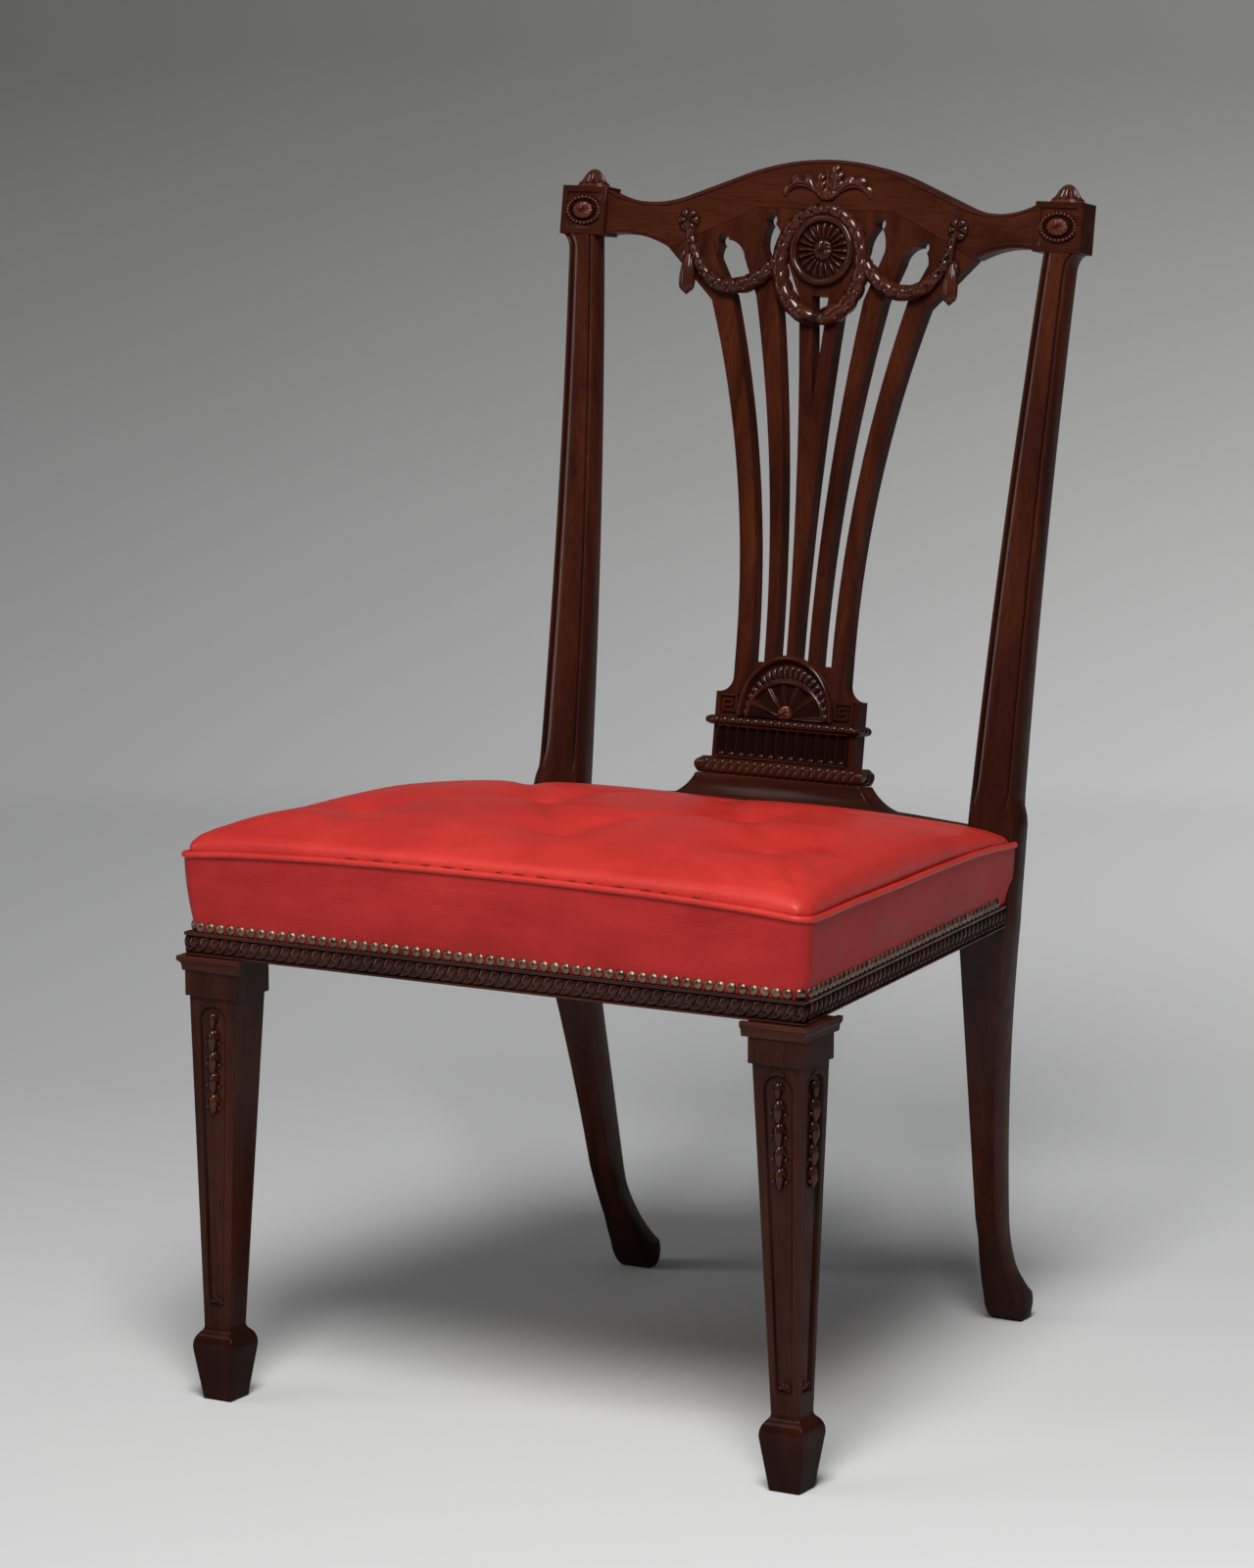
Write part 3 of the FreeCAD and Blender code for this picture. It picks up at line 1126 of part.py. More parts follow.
def strip_section(corner, outward):
    """Moulding section through a corner: two fillets with a grooved band between them."""
    tall = band_high - band_low
    profile = [(band_depth, 0), (0, 0), (0, fillet), (groove, fillet), (0, fillet + groove),
               (0, tall - fillet - groove), (groove, tall - fillet), (0, tall - fillet), (0, tall),
               (band_depth, tall)]
    return polygon([corner - outward*depth + Vector(0, 0, band_low + z) for depth, z in profile])


def strip(start, start_mitre, end, end_mitre):
    return Part.makeLoft([strip_section(start, start_mitre), strip_section(end, end_mitre)], True, True)


corner_x = value("seat_front_half")
mitre_gap = Vector(value("joint_gap")/2, 0, 0)
mitres = {side: Vector(side*(stretch + slope), -1, 0) for side in SIDES.values()}
solid("front_rail_moulding", strip(Vector(-corner_x, edge_front, 0) + mitre_gap, mitres[-1],
                                   Vector(corner_x, edge_front, 0) - mitre_gap, mitres[1]))
for name, side in SIDES.items():
    rear = Vector(side*value(side_line("seat_back_edge")), seat_back, -fall_slope*(seat_back - edge_front))
    side_strip = strip(Vector(side*corner_x, edge_front, 0), mitres[side], rear, Vector(side*stretch, 0, 0))
    solid("side_rail_moulding_" + name, side_strip.cut(behind_stiles))

# Brass nails along the lower edge of the leather
nail_radius, nail_proud = value("nail_radius"), value("nail_proud")
nail_z = border_low + nail_radius + clear
nail_lean = border_inset/(border_top - border_low)
nail_inset = border_inset - nail_lean*(nail_z - border_low)


def nail_head(spot, outward):
    """Low dome with eight sides, standing on the leaning leather."""
    across = Vector(0, 0, 1).cross(outward)
    rings = []
    for radius, height in ((nail_radius, clear/2), (nail_radius/2, clear/2 + nail_proud)):
        ring = []
        for turn in range(8):
            angle = math.radians(45*turn + 22.5)
            along, up = radius*math.cos(angle), radius*math.sin(angle)
            ring.append(spot + outward*(height + nail_lean*up) + across*along + Vector(0, 0, up))
        rings.append(polygon(ring))
    return Part.makeLoft(rings, True, True)


pitch = value("nail_pitch")
front_run = corner_x - nail_inset - corner_radius
front_count = int(2*front_run/pitch)
nails = [nail_head(Vector((number - front_count/2)*pitch, edge_front + nail_inset, nail_z), Vector(0, -1, 0))
         for number in range(front_count + 1)]
side_start = edge_front + nail_inset + corner_radius
side_count = int((value(stile_front("rail_bottom")) - nail_radius - side_start)*stretch/pitch)
for side in SIDES.values():
    for number in range(side_count + 1):
        y = side_start + number*pitch/stretch
        spot = Vector(side*value(side_line(str(y), str(nail_inset))), y, nail_z - fall_slope*(y - edge_front))
        nails.append(nail_head(spot, Vector(side, slope, 0).normalize()))
solid("brass_nails", Part.makeCompound(nails))

doc.recompute()
for feature in doc.Objects:
    problems = [state for state in feature.State if state in ("Invalid", "Error")]
    if problems:
        raise RuntimeError("%s failed: %s" % (feature.Label, problems))
for feature in nodes:
    shape = feature.Shape
    if shape.isNull() or not shape.isValid() or not shape.Solids:
        raise RuntimeError("%s has no valid solid" % feature.Label)
os.makedirs("parts", exist_ok=True)
for feature in nodes:
    feature.Shape.exportStep("parts/%s.step" % feature.Label)
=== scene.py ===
"""Looks of a carved mahogany side chair with a pierced fan back and a stuffed leather seat.

Pieces are drawn in the chair's own millimetres: x to the right of someone who faces the front, y to the back, z up.
The raked back has its own drawing, with u across, v up the rake and rise out of the front face.
"""
import math

import bmesh
import bpy
import numpy as np
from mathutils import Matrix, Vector


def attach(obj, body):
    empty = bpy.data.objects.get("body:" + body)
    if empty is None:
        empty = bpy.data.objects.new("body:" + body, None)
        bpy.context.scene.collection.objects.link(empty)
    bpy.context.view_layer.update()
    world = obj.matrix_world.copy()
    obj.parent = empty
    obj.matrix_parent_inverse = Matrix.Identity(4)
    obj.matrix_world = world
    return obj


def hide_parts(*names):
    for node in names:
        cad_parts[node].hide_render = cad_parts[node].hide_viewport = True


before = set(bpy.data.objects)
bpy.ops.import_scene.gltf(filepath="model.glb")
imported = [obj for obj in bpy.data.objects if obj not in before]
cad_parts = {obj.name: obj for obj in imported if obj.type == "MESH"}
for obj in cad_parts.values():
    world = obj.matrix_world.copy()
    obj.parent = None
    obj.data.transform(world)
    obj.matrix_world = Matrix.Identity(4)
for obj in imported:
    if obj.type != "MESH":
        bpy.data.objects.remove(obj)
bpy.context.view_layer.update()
scene = bpy.context.scene

TAU = 2*math.pi
UP = np.array((0, 0, 1.0))
SIDES = {"left": -1, "right": 1}
# The chair's drawing is moved back by this much to centre it in the shared frame
FRAME_SHIFT = 2.519
# The backs of carved reliefs lie this far inside the wood
BURIED = -1.0

# Back: its rake, the foot of its face, the radius of its bow, the face of the splat's pedestal, and the tablets
RAKE = math.radians(9.1)
BACK_FOOT_Y, BACK_FOOT_Z = 189, 455
BOW_RADIUS = 1260
PEDESTAL_PROUD = 2.2
TABLET_U, TABLET_V, TABLET_PROUD = 221.75, 464.8, 19.2

# Seat: its front edge, half width there, depth and taper, and the rails' lower edge, which falls to the back
SEAT_FRONT, SEAT_HALF, SEAT_DEPTH = -288, 276, 438
SEAT_SLOPE = 50/SEAT_DEPTH
SEAT_STRETCH = math.hypot(1, SEAT_SLOPE)
RAIL_LOW, RAIL_FALL = 361, 4
# The welt of the leather stands this far out beyond the rails
OVERHANG = 3.6

# Heights of a back leg: top of the club foot, end of its sweep, foot of the stile and underside of the crest
CLUB_TOP, SWEEP_TOP, STILE_FOOT, STILE_TOP = 22, 100, 440, 897

# Front leg: top of the spade foot, foot of the tapered shaft, foot of the block, and the sunk panel's foot, the height
# where its arched head springs, its half widths at both, and the depth of its floor
SPADE_TOP, SHAFT_FOOT, BLOCK_FOOT = 60, 58, 329
SHAFT_LENGTH = BLOCK_FOOT - SHAFT_FOOT
PANEL_FOOT, PANEL_SPRING, PANEL_NARROW, PANEL_WIDE, PANEL_FLOOR = 78, 309, 6.5, 12, 1.95


# Shapes
class Shell:
    """Points, faces and shades of one piece, sheet by sheet: painted shade in hollows above 0, rubbed heights below."""

    def __init__(self):
        self.points, self.faces, self.shades, self.total = [], [], [], 0

    def add(self, sheet, shade=0.0, ring=True, loop=False):
        """Adds a grid of points, or many of one size. ring closes each row on itself, loop each column."""
        shade = np.broadcast_to(shade, sheet.shape[:-1])
        rows, columns = sheet.shape[-3:-1]
        sheet = sheet.reshape(-1, rows*columns, 3)
        number = np.arange(rows*columns).reshape(rows, columns)
        if ring:
            number = np.concatenate([number, number[:, :1]], 1)
        if loop:
            number = np.concatenate([number, number[:1]], 0)
        quads = np.stack([number[:-1, :-1], number[:-1, 1:], number[1:, 1:], number[1:, :-1]], -1)
        start = self.total + rows*columns*np.arange(len(sheet))
        self.faces.append((quads.reshape(-1, 4) + start[:, None, None]).reshape(-1, 4))
        self.points.append(sheet.reshape(-1, 3))
        self.shades.append(shade.reshape(-1))
        self.total += len(sheet)*rows*columns
        return self


def in_frame(points):
    """Millimetres of the chair's drawing as metres of the shared frame."""
    return (points + np.array([0, FRAME_SHIFT, 0]))*0.001


def in_drawing(points):
    """Metres of the shared frame as millimetres of the chair's drawing."""
    return points*1000 - (0, FRAME_SHIFT, 0)


def stacked(*parts):
    """Coordinates side by side, brought to one shape."""
    return np.stack(np.broadcast_arrays(*parts), -1)


def unit(vectors):
    """Vectors brought to length 1."""
    return vectors/np.linalg.norm(vectors, axis=-1, keepdims=True)


def turned(u, v, deep):
    """Points of the back's drawing, turned by the rake about the foot of the back."""
    return stacked(u, BACK_FOOT_Y + v*math.sin(RAKE) + deep*math.cos(RAKE),
                   BACK_FOOT_Z + v*math.cos(RAKE) - deep*math.sin(RAKE))


def on_back(points):
    """Bowed face of the back: u stays, and the face comes forward by the bow's sagitta."""
    u, v, rise = np.moveaxis(points, -1, 0)
    return turned(u, v, np.sqrt(BOW_RADIUS**2 - u**2) - BOW_RADIUS - rise)


def raked(forward):
    """Flat face of the raked back that stands forward of the splat's face by some millimetres."""
    def surface(points):
        u, v, rise = np.moveaxis(points, -1, 0)
        return turned(u, v, -forward - rise)
    return surface


def smooth(low, high, x):
    """Rises from 0 at low to 1 at high with level ends."""
    t = np.clip((x - low)/(high - low), 0, 1)
    return t*t*(3 - 2*t)


def bump(x, centre, half):
    """Round hump of height 1 that is 0 beyond half a width from its centre."""
    return np.sqrt(np.clip(1 - ((x - centre)/half)**2, 0, 1))


def full_turn(count):
    """Even angles once round."""
    return np.linspace(0, TAU, count, endpoint=False)


def half_turn(count):
    """Even angles from straight down round to straight up."""
    return np.linspace(-0.5*math.pi, 0.5*math.pi, count)


def column(*parts):
    """Heights one below the other, from parts of first, last and count."""
    return np.concatenate([np.linspace(*part) for part in parts])[:, None]


def reach_along(points):
    """Distance along a line to each of its points."""
    return np.concatenate([[0], np.cumsum(np.linalg.norm(np.diff(points, axis=0), axis=1))])


def along_line(at, reach, line):
    """Values of a line at some distances along it."""
    return stacked(*(np.interp(at, reach, part) for part in line.T))


def bezier(points, count, side=1):
    """Cubic curve through the first and last of four points, drawn by the two between, on the right or the left."""
    t = np.linspace(0, 1, count)[:, None]
    a, b, c, d = np.array(points, float)*(side, 1, 1)
    return (1 - t)**3*a + 3*t*(1 - t)**2*b + 3*t*t*(1 - t)*c + t**3*d


def arc_centre(start, end, radius):
    """Centre of the round arc between two points; a positive radius turns left along the way."""
    (x0, z0), (x1, z1) = start, end
    chord = math.hypot(x1 - x0, z1 - z0)
    rise = math.copysign(math.sqrt(radius**2 - chord**2/4), radius)
    return (x0 + x1)/2 - (z1 - z0)/chord*rise, (z0 + z1)/2 + (x1 - x0)/chord*rise


def arc_line(height, low, high, radius):
    """Places at some heights on the round arc between two points of place and height."""
    middle, level = arc_centre(low, high, radius)
    reach = np.sqrt(np.clip(radius**2 - (height - level)**2, 0, None))
    return middle + math.copysign(1, low[0] - middle)*reach


def arc_path(start, end, radius, count):
    """Even points on the round arc between two points."""
    centre = arc_centre(start, end, radius)
    first, last = (math.atan2(z - centre[1], x - centre[0]) for x, z in (start, end))
    turn = np.linspace(first, last, count)
    return np.array(centre) + abs(radius)*stacked(np.cos(turn), np.sin(turn))


def leaf_form(steps, turns, rib, belly, back, blunt):
    """Closed leaf of unit length. Its half width is the sine of pi s^belly to the power blunt, so it is widest before
    the middle; its top is a dome with a groove along the middle rib, and its back is a shallower dome."""
    s = np.linspace(0, 1, steps)[:, None]
    turn = full_turn(turns)[None]
    half = np.sin(math.pi*s**belly)**blunt*(s < 1)
    across, up = np.cos(turn), np.sin(turn)
    dome = np.where(up > 0, up*(1 - rib*np.exp(-(across/0.3)**2)), back*up)
    return stacked(s, half*across, half*dome)


def leaf_shade(form):
    """Painted shade: darker at the foot of a leaf and along its rim."""
    return np.clip(0.75 - 1.7*form[..., 2] - 0.5*form[..., 0], -0.06, 0.75)


def round_form(polar, turns):
    """Part of a ball of radius 1, from a column of angles from its pole."""
    turn = full_turn(turns)[None]
    return stacked(np.cos(polar), np.sin(polar)*np.cos(turn), np.sin(polar)*np.sin(turn))


def berry_form(steps=6, turns=8):
    """Ball of radius 1."""
    return round_form(np.linspace(0, math.pi, steps)[:, None], turns)


def scattered(form, origin, along, size):
    """Copies of a form: its length runs along, its height is as upright as that allows, and its sizes are per copy."""
    origin, along, size = (np.atleast_2d(np.asarray(a, float)) for a in (origin, along, size))
    along = unit(along)
    across = unit(np.cross(UP, along))
    up = np.cross(along, across)
    origin, along, across, up, size = (
        a[:, None, None] for a in np.broadcast_arrays(origin, along, across, up, size))
    return (origin + form[..., :1]*size[..., :1]*along + form[..., 1:2]*size[..., 1:2]*across
            + form[..., 2:]*size[..., 2:]*up)


def tube(path, radius, turns=12, flat=1.0):
    """Round section carried along a path in the plane of u and v, drawn in to a point at both ends."""
    heading = unit(np.gradient(path, axis=0))
    side = np.cross(heading, UP)[:, None]
    turn = full_turn(turns)[None, :, None]
    radius = np.broadcast_to(radius, len(path))[:, None, None]
    ring = path[:, None] + radius*(np.sin(turn)*side + flat*np.cos(turn)*UP)
    return np.concatenate([path[:1, None].repeat(turns, 1), ring, path[-1:, None].repeat(turns, 1)])


# Angles of the rows of leaves round a laurel rope
LAUREL_ROWS = (-1.45, -0.5, 0.5, 1.45)


def garland(path, thick, stations, leaf, shell):
    """Laurel rope on the back: a round core with rows of overlapping leaves turned round it and bent along it, each row
    half a step behind the last, and berries between the rows."""
    # the core, which shows only between the leaves, gets painted shade
    shell.add(on_back(tube(path, 0.92*thick, 14)), 0.7)
    reach = reach_along(path)
    sideways = np.cross(unit(np.gradient(path, axis=0)), UP)

    def bent(along, turn, out, across):
        """Points at a distance along the rope, out from its middle at an angle round it, and across that way."""
        middle, side = (along_line(along, reach, line) for line in (path, sideways))
        rise = out*math.cos(turn) - across*math.sin(turn)
        aside = out*math.sin(turn) + across*math.cos(turn)
        return on_back(middle + rise[..., None]*UP + aside[..., None]*side)

    form, ball = leaf_form(9, 8, 0.3, 0.9, 0.3, 0.6), berry_form()
    for row, turn in enumerate(LAUREL_ROWS):
        start = (reach[-1]*(np.arange(stations) + 0.5*(row % 2))/stations)[:, None, None]
        around = np.interp(start, reach, thick)
        length, wide, tall = (around/np.max(thick)*size for size in leaf)
        out = 0.70*around + form[..., 2]*tall + 0.13*form[..., 0]*length
        shell.add(bent(start + form[..., 0]*length, turn, out, form[..., 1]*wide), leaf_shade(form))
        if row % 2:
            size = 0.13*around + 0.6
            place = start + 0.55*length + size*ball[..., 0]
            shell.add(bent(place, 0.55*turn, 1.1*around + size*ball[..., 2], size*ball[..., 1]), -0.3)
    return shell


def carved_disc(shell, surface, centre, size, relief, counts, last=TAU):
    """Oval or half-oval relief: its rise and its shade come from r, which is 0 to 1, and the angle; its rim and back go
    into the wood."""
    r = np.linspace(0, 1, counts[0])[:, None]
    angle = np.linspace(0, last, counts[1], endpoint=last < TAU)[None]
    rise, dark = (part + 0*r*angle for part in relief(r, angle))
    sheet = stacked(centre[0] + size[0]*r*np.cos(angle), centre[1] + size[1]*r*np.sin(angle), rise)
    back = sheet[[-1, 0]]
    back[..., 2] = BURIED
    return shell.add(surface(np.concatenate([sheet, back])), np.concatenate([dark, dark[[-1, 0]]]))


def swept(corners, step):
    """Points along a bent line, their outward normals to the right of the way, and their distances along it. At a bend
    the normal is the mitre."""
    corners = np.array(corners, float)
    heading = unit(np.diff(corners, axis=0))
    right = stacked(heading[:, 1], -heading[:, 0])
    mitre = (right[:-1] + right[1:])/(1 + np.sum(right[:-1]*right[1:], 1, keepdims=True))
    ends = np.concatenate([right[:1], mitre, right[-1:]])
    points, normals = [], []
    for start, end, side, first, last in zip(corners, corners[1:], right, ends, ends[1:]):
        share = np.linspace(0, 1, max(2, round(float(np.linalg.norm(end - start))/step)))[:, None]
        points.append(start + (end - start)*share)
        normals.append(np.concatenate([first[None], side[None].repeat(len(share) - 2, 0), last[None]]))
    points = np.concatenate(points)
    return points, np.concatenate(normals), reach_along(points)


def capped(section):
    """Closes both ends of a carried section by drawing each end in to its middle."""
    middles = [section[end].mean(0)[None, None].repeat(section.shape[1], 1) for end in (0, -1)]
    return np.concatenate([middles[0], section, middles[1]])


def moulding(corners, step, section, surface, relief=None):
    """Section of points (out, up) carried along a bent line; relief gives what is added to out, and the shade, from the
    distance along the line and the height."""
    points, normals, distance = swept(corners, step)
    out, up = np.array(section, float).T[:, None]
    cut, shade = relief(distance[:, None], out, up) if relief else (0, 0)
    out = out + cut + 0*distance[:, None]
    sheet = capped(stacked(points[:, :1] + normals[:, :1]*out, points[:, 1:] + normals[:, 1:]*out, up))
    return Shell().add(surface(sheet), np.pad(np.broadcast_to(shade, out.shape), ((1, 1), (0, 0))))


def make(name, shell, material, slot, nodes, sharp):
    """Mesh piece from a shell, with its doubles merged and its faces turned outwards."""
    points = in_frame(np.concatenate(shell.points))
    faces = np.concatenate(shell.faces)
    mesh = bpy.data.meshes.new(name)
    mesh.vertices.add(len(points))
    mesh.vertices.foreach_set("co", points.ravel())
    mesh.loops.add(faces.size)
    mesh.loops.foreach_set("vertex_index", faces.ravel())
    mesh.polygons.add(len(faces))
    mesh.polygons.foreach_set("loop_start", np.arange(0, faces.size, 4))
    mesh.attributes.new("hollow", "FLOAT", "POINT").data.foreach_set("value", np.concatenate(shell.shades))
    mesh.update(calc_edges=True)
    work = bmesh.new()
    work.from_mesh(mesh)
    bmesh.ops.remove_doubles(work, verts=work.verts, dist=2e-6)
    bmesh.ops.dissolve_degenerate(work, dist=1e-7, edges=work.edges)
    bmesh.ops.recalc_face_normals(work, faces=work.faces)
    work.to_mesh(mesh)
    work.free()
    return finished(bpy.data.objects.new(name, mesh), material, slot, nodes, sharp)


def carve(name, shell, nodes=(), sharp=80):
    """Piece of carving, from a shell and the nodes it stands for."""
    make(name, shell, CARVED_MAHOGANY, "mahogany_carving", nodes, sharp)


def finished(piece, material, slot, nodes, sharp):
    """Links a piece into the scene with its shading, material, body and the nodes it stands for; its slot is not used.
    """
    if piece.name not in scene.collection.objects:
        scene.collection.objects.link(piece)
    mesh = piece.data
    mesh.polygons.foreach_set("use_smooth", np.ones(len(mesh.polygons), bool))
    mesh.set_sharp_from_angle(angle=math.radians(sharp))
    mesh.materials.clear()
    mesh.materials.append(material)
    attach(piece, "root")
    if nodes:
        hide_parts(*nodes)
    return piece


def eased(node, material, width):
    """Copy of a construction piece with its edges worn round by a width in millimetres."""
    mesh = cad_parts[node].data.copy()
    work = bmesh.new()
    work.from_mesh(mesh)
    bmesh.ops.remove_doubles(work, verts=work.verts, dist=1e-6)
    bmesh.ops.dissolve_limit(work, angle_limit=math.radians(0.6), verts=work.verts, edges=work.edges)
    work.to_mesh(mesh)
    work.free()
    piece = finished(bpy.data.objects.new(node + "_polished", mesh), material, "mahogany_frame", (node,), 40)
    worn = piece.modifiers.new("worn_edges", "BEVEL")
    worn.width = 0.001*width
    worn.segments = 2
    worn.limit_method = "ANGLE"
    worn.angle_limit = math.radians(32)
    worn.harden_normals = False


# Finishes
class Value:
    """Number in a material: arithmetic on it adds the Math nodes."""

    def __init__(self, finish, socket):
        self.finish, self.socket = finish, socket

    def maths(self, operation, *others):
        return self.finish.node("Math", {"operation": operation}, dict(enumerate(others)))

    def __add__(self, other):
        return self.maths("ADD", self, other)

    def __sub__(self, other):
        return self.maths("SUBTRACT", self, other)

    def __rsub__(self, other):
        return self.maths("SUBTRACT", other, self)

    def __mul__(self, other):
        return self.maths("MULTIPLY", self, other)

    __radd__, __rmul__ = __add__, __mul__

    def clamped(self, low=0.0, high=1.0, start=0.0, end=1.0):
        """Share of the way from low to high, kept between two values."""
        return self.finish.node("MapRange", {"clamp": True}, {
            "Value": self, "From Min": low, "From Max": high, "To Min": start, "To Max": end})


class Finish:
    """Material with one Principled surface; its nodes are added by one method."""

    def __init__(self, name):
        self.material = bpy.data.materials.new(name)
        self.material.use_nodes = True
        self.tree = self.material.node_tree
        self.surface = self.tree.nodes["Principled BSDF"]
        self.place = self.node("TexCoord", {}, {}, "Object")

    def node(self, kind, settings, sockets, output=0):
        """Adds a node: its settings first, then the values or links of its sockets; gives one output."""
        made = self.tree.nodes.new("ShaderNode" + kind)
        for key, setting in settings.items():
            setattr(made, key, setting)
        self.connect(made, sockets)
        return Value(self, made.outputs[output])

    def connect(self, made, sockets):
        """Links the sockets that are given a Value, and sets the others."""
        for key, amount in sockets.items():
            if isinstance(amount, Value):
                self.tree.links.new(amount.socket, made.inputs[key])
            else:
                made.inputs[key].default_value = amount

    def mapped(self, scale, turn=(0, 0, 0)):
        return self.node("Mapping", {}, {"Vector": self.place, "Scale": scale, "Rotation": turn})

    def noise(self, vector, scale, detail=3.0, rough=0.55, distort=0.0):
        return self.node("TexNoise", {}, {"Vector": vector, "Scale": scale, "Detail": detail, "Roughness": rough,
                                          "Distortion": distort})

    def ramp(self, factor, *stops):
        """Colour between stops of place and colour."""
        value = self.node("ValToRGB", {}, {"Fac": factor})
        elements = value.socket.node.color_ramp.elements
        while len(elements) < len(stops):
            elements.new(0.5)
        for element, (position, colour) in zip(elements, stops):
            element.position = position
            element.color = (*colour, 1)
        return value

    def mix(self, factor, first, second, kind="MIX"):
        """Mix of two colours, by their sockets' numbers, because the node has sockets of the same names for numbers."""
        return self.node("Mix", {"data_type": "RGBA", "blend_type": kind},
                         {"Factor": factor, 6: first, 7: second}, 2)

    def attribute(self, name):
        return self.node("Attribute", {"attribute_name": name}, {}, "Fac")

    def bumped(self, height, strength, distance):
        return self.node("Bump", {}, {"Height": height, "Strength": strength, "Distance": distance})

    def finish(self, **sockets):
        """Connects the surface's sockets, with low lines for the spaces in their names, and gives the material."""
        self.connect(self.surface, {key.replace("_", " "): amount for key, amount in sockets.items()})
        return self.material


MAHOGANY_SHADES = ((0.26, (0.014, 0.0036, 0.0020)), (0.46, (0.032, 0.0074, 0.0034)),
                   (0.62, (0.056, 0.0132, 0.0050)), (0.80, (0.092, 0.0225, 0.0076)))
PORE_BROWN = (0.010, 0.004, 0.003, 1)
HOLLOW_SHADE_BROWN = (0.006, 0.0025, 0.0021, 1)
RUBBED_RED = (0.17, 0.040, 0.018, 1)
WRINKLE_RED = (0.23, 0.010, 0.012, 1)
TUFT_SHADE_RED = (0.12, 0.004, 0.006, 1)
# Length of one band of the wave texture at scale 1
WAVE_LENGTH = 0.314


def polished_mahogany(name, along, tone=1.0, polish=0.33, gloss=0.18):
    """Dark red-brown wood under old polish: long soft figure and fine pores run along one axis, the polish is uneven,
    painted shade darkens the hollows, and heights with a shade below 0 are rubbed redder."""
    wood = Finish(name)
    stretch = [1.0, 1.0, 1.0]
    stretch[along] = 0.07
    grain = wood.mapped(stretch)
    figure = wood.noise(grain, 34, 4, 0.6, 1.2)
    pores = wood.noise(grain, 620, 2, 0.5)
    cloud = wood.noise(wood.place, 5.5, 2)
    wear = wood.noise(wood.place, 42, 4)
    colour = wood.ramp(0.72*figure + 0.35*cloud - 0.03, *(
        (at, tuple(tone*part for part in shade)) for at, shade in MAHOGANY_SHADES))
    pore = pores.clamped(0.52, 0.66)
    colour = wood.mix(0.45*pore, colour, PORE_BROWN)
    hollow = wood.attribute("hollow")
    # painted shade: the hollow attribute darkens recesses to a near-black brown
    colour = wood.mix((hollow*0.9).clamped(), colour, HOLLOW_SHADE_BROWN)
    colour = wood.mix((0 - hollow).clamped(), colour, RUBBED_RED)
    rough = wear.clamped(0.3, 0.7, 0.45, 0.65)
    height = 0.7*figure + 0.5*wear - 0.6*pore
    shine = polish*wear.clamped(0.3, 0.7, 1.15, 0.75)*(1 - hollow.clamped())
    return wood.finish(Base_Color=colour, Roughness=rough, Normal=wood.bumped(height, 0.07, 0.0006),
                       Coat_Weight=shine, Coat_Roughness=gloss, Specular_IOR_Level=0.0)


def red_leather(name, light, deep, stretched=False):
    """Glazed leather: pebbled grain cells with fine wrinkles between them, blotches where the dye took unevenly, and
    worn paler where it is rubbed. Stretched leather has its wrinkles drawn out level."""
    hide = Finish(name)
    blotch = hide.noise(hide.place, 9, 3, 0.6)
    drift = hide.noise(hide.mapped((1.4, 1.4, 5.0) if stretched else (2.0, 2.6, 2.0)), 7, 3, 0.6, 0.6)
    wrinkle = hide.noise(hide.mapped((18, 18, 170) if stretched else (60, 90, 60)), 4.5, 4, 0.62, 0.4)
    cells = hide.node("TexVoronoi", {"feature": "DISTANCE_TO_EDGE"}, {"Vector": hide.place, "Scale": 640.0},
                      "Distance")
    pebble = cells.clamped(0.0, 0.22)
    rubbed = (0.55*blotch + 0.6*drift).clamped(0.40, 0.80)
    colour = hide.mix(rubbed, (*deep, 1), (*light, 1))
    colour = hide.mix((0.30*wrinkle.clamped(0.5, 0.75)).clamped(), colour, WRINKLE_RED)
    # painted shade in the tufts' dimples, carried by the hollow attribute
    tuft_shade = hide.attribute("hollow")
    colour = hide.mix((tuft_shade*0.9).clamped(), colour, TUFT_SHADE_RED)
    rough = drift.clamped(0.3, 0.7, 0.34, 0.50) + 0.10*(1 - pebble)
    height = 0.5*pebble + 1.1*wrinkle
    coat, shine = (0.02, 0.10) if stretched else (0.16, 0.24)
    return hide.finish(Base_Color=colour, Roughness=rough, Normal=hide.bumped(height, 0.50, 0.0005),
                       Coat_Weight=coat, Coat_Roughness=0.28, Specular_IOR_Level=shine)


def aged_brass(name):
    """Old brass gone brown, rubbed bright on the domes."""
    metal = Finish(name)
    patina = metal.noise(metal.place, 160, 4, 0.6)
    hollow = metal.attribute("hollow")
    colour = metal.ramp(patina - 0.3*hollow, (0.25, (0.07, 0.038, 0.025)), (0.5, (0.19, 0.108, 0.071)),
                        (0.75, (0.33, 0.205, 0.138)))
    return metal.finish(Base_Color=colour, Metallic=1.0 - 0.35*hollow,
                        Roughness=patina.clamped(0.3, 0.7, 0.28, 0.46) + 0.2*hollow,
                        Normal=metal.bumped(patina, 0.10, 0.0004))


def plain_beech(name):
    """Bare pale wood with short flecks, gone grey-brown with age."""
    wood = Finish(name)
    flecks = wood.noise(wood.mapped((6, 60, 60)), 9, 4)
    age = wood.noise(wood.place, 8, 3)
    colour = wood.mix(age.clamped(0.3, 0.7), (0.20, 0.105, 0.050, 1), (0.30, 0.175, 0.092, 1))
    colour = wood.mix(0.4*flecks.clamped(0.45, 0.7), colour, (0.12, 0.058, 0.028, 1))
    return wood.finish(Base_Color=colour, Roughness=flecks.clamped(0.3, 0.7, 0.55, 0.75),
                       Normal=wood.bumped(flecks, 0.2, 0.0008))


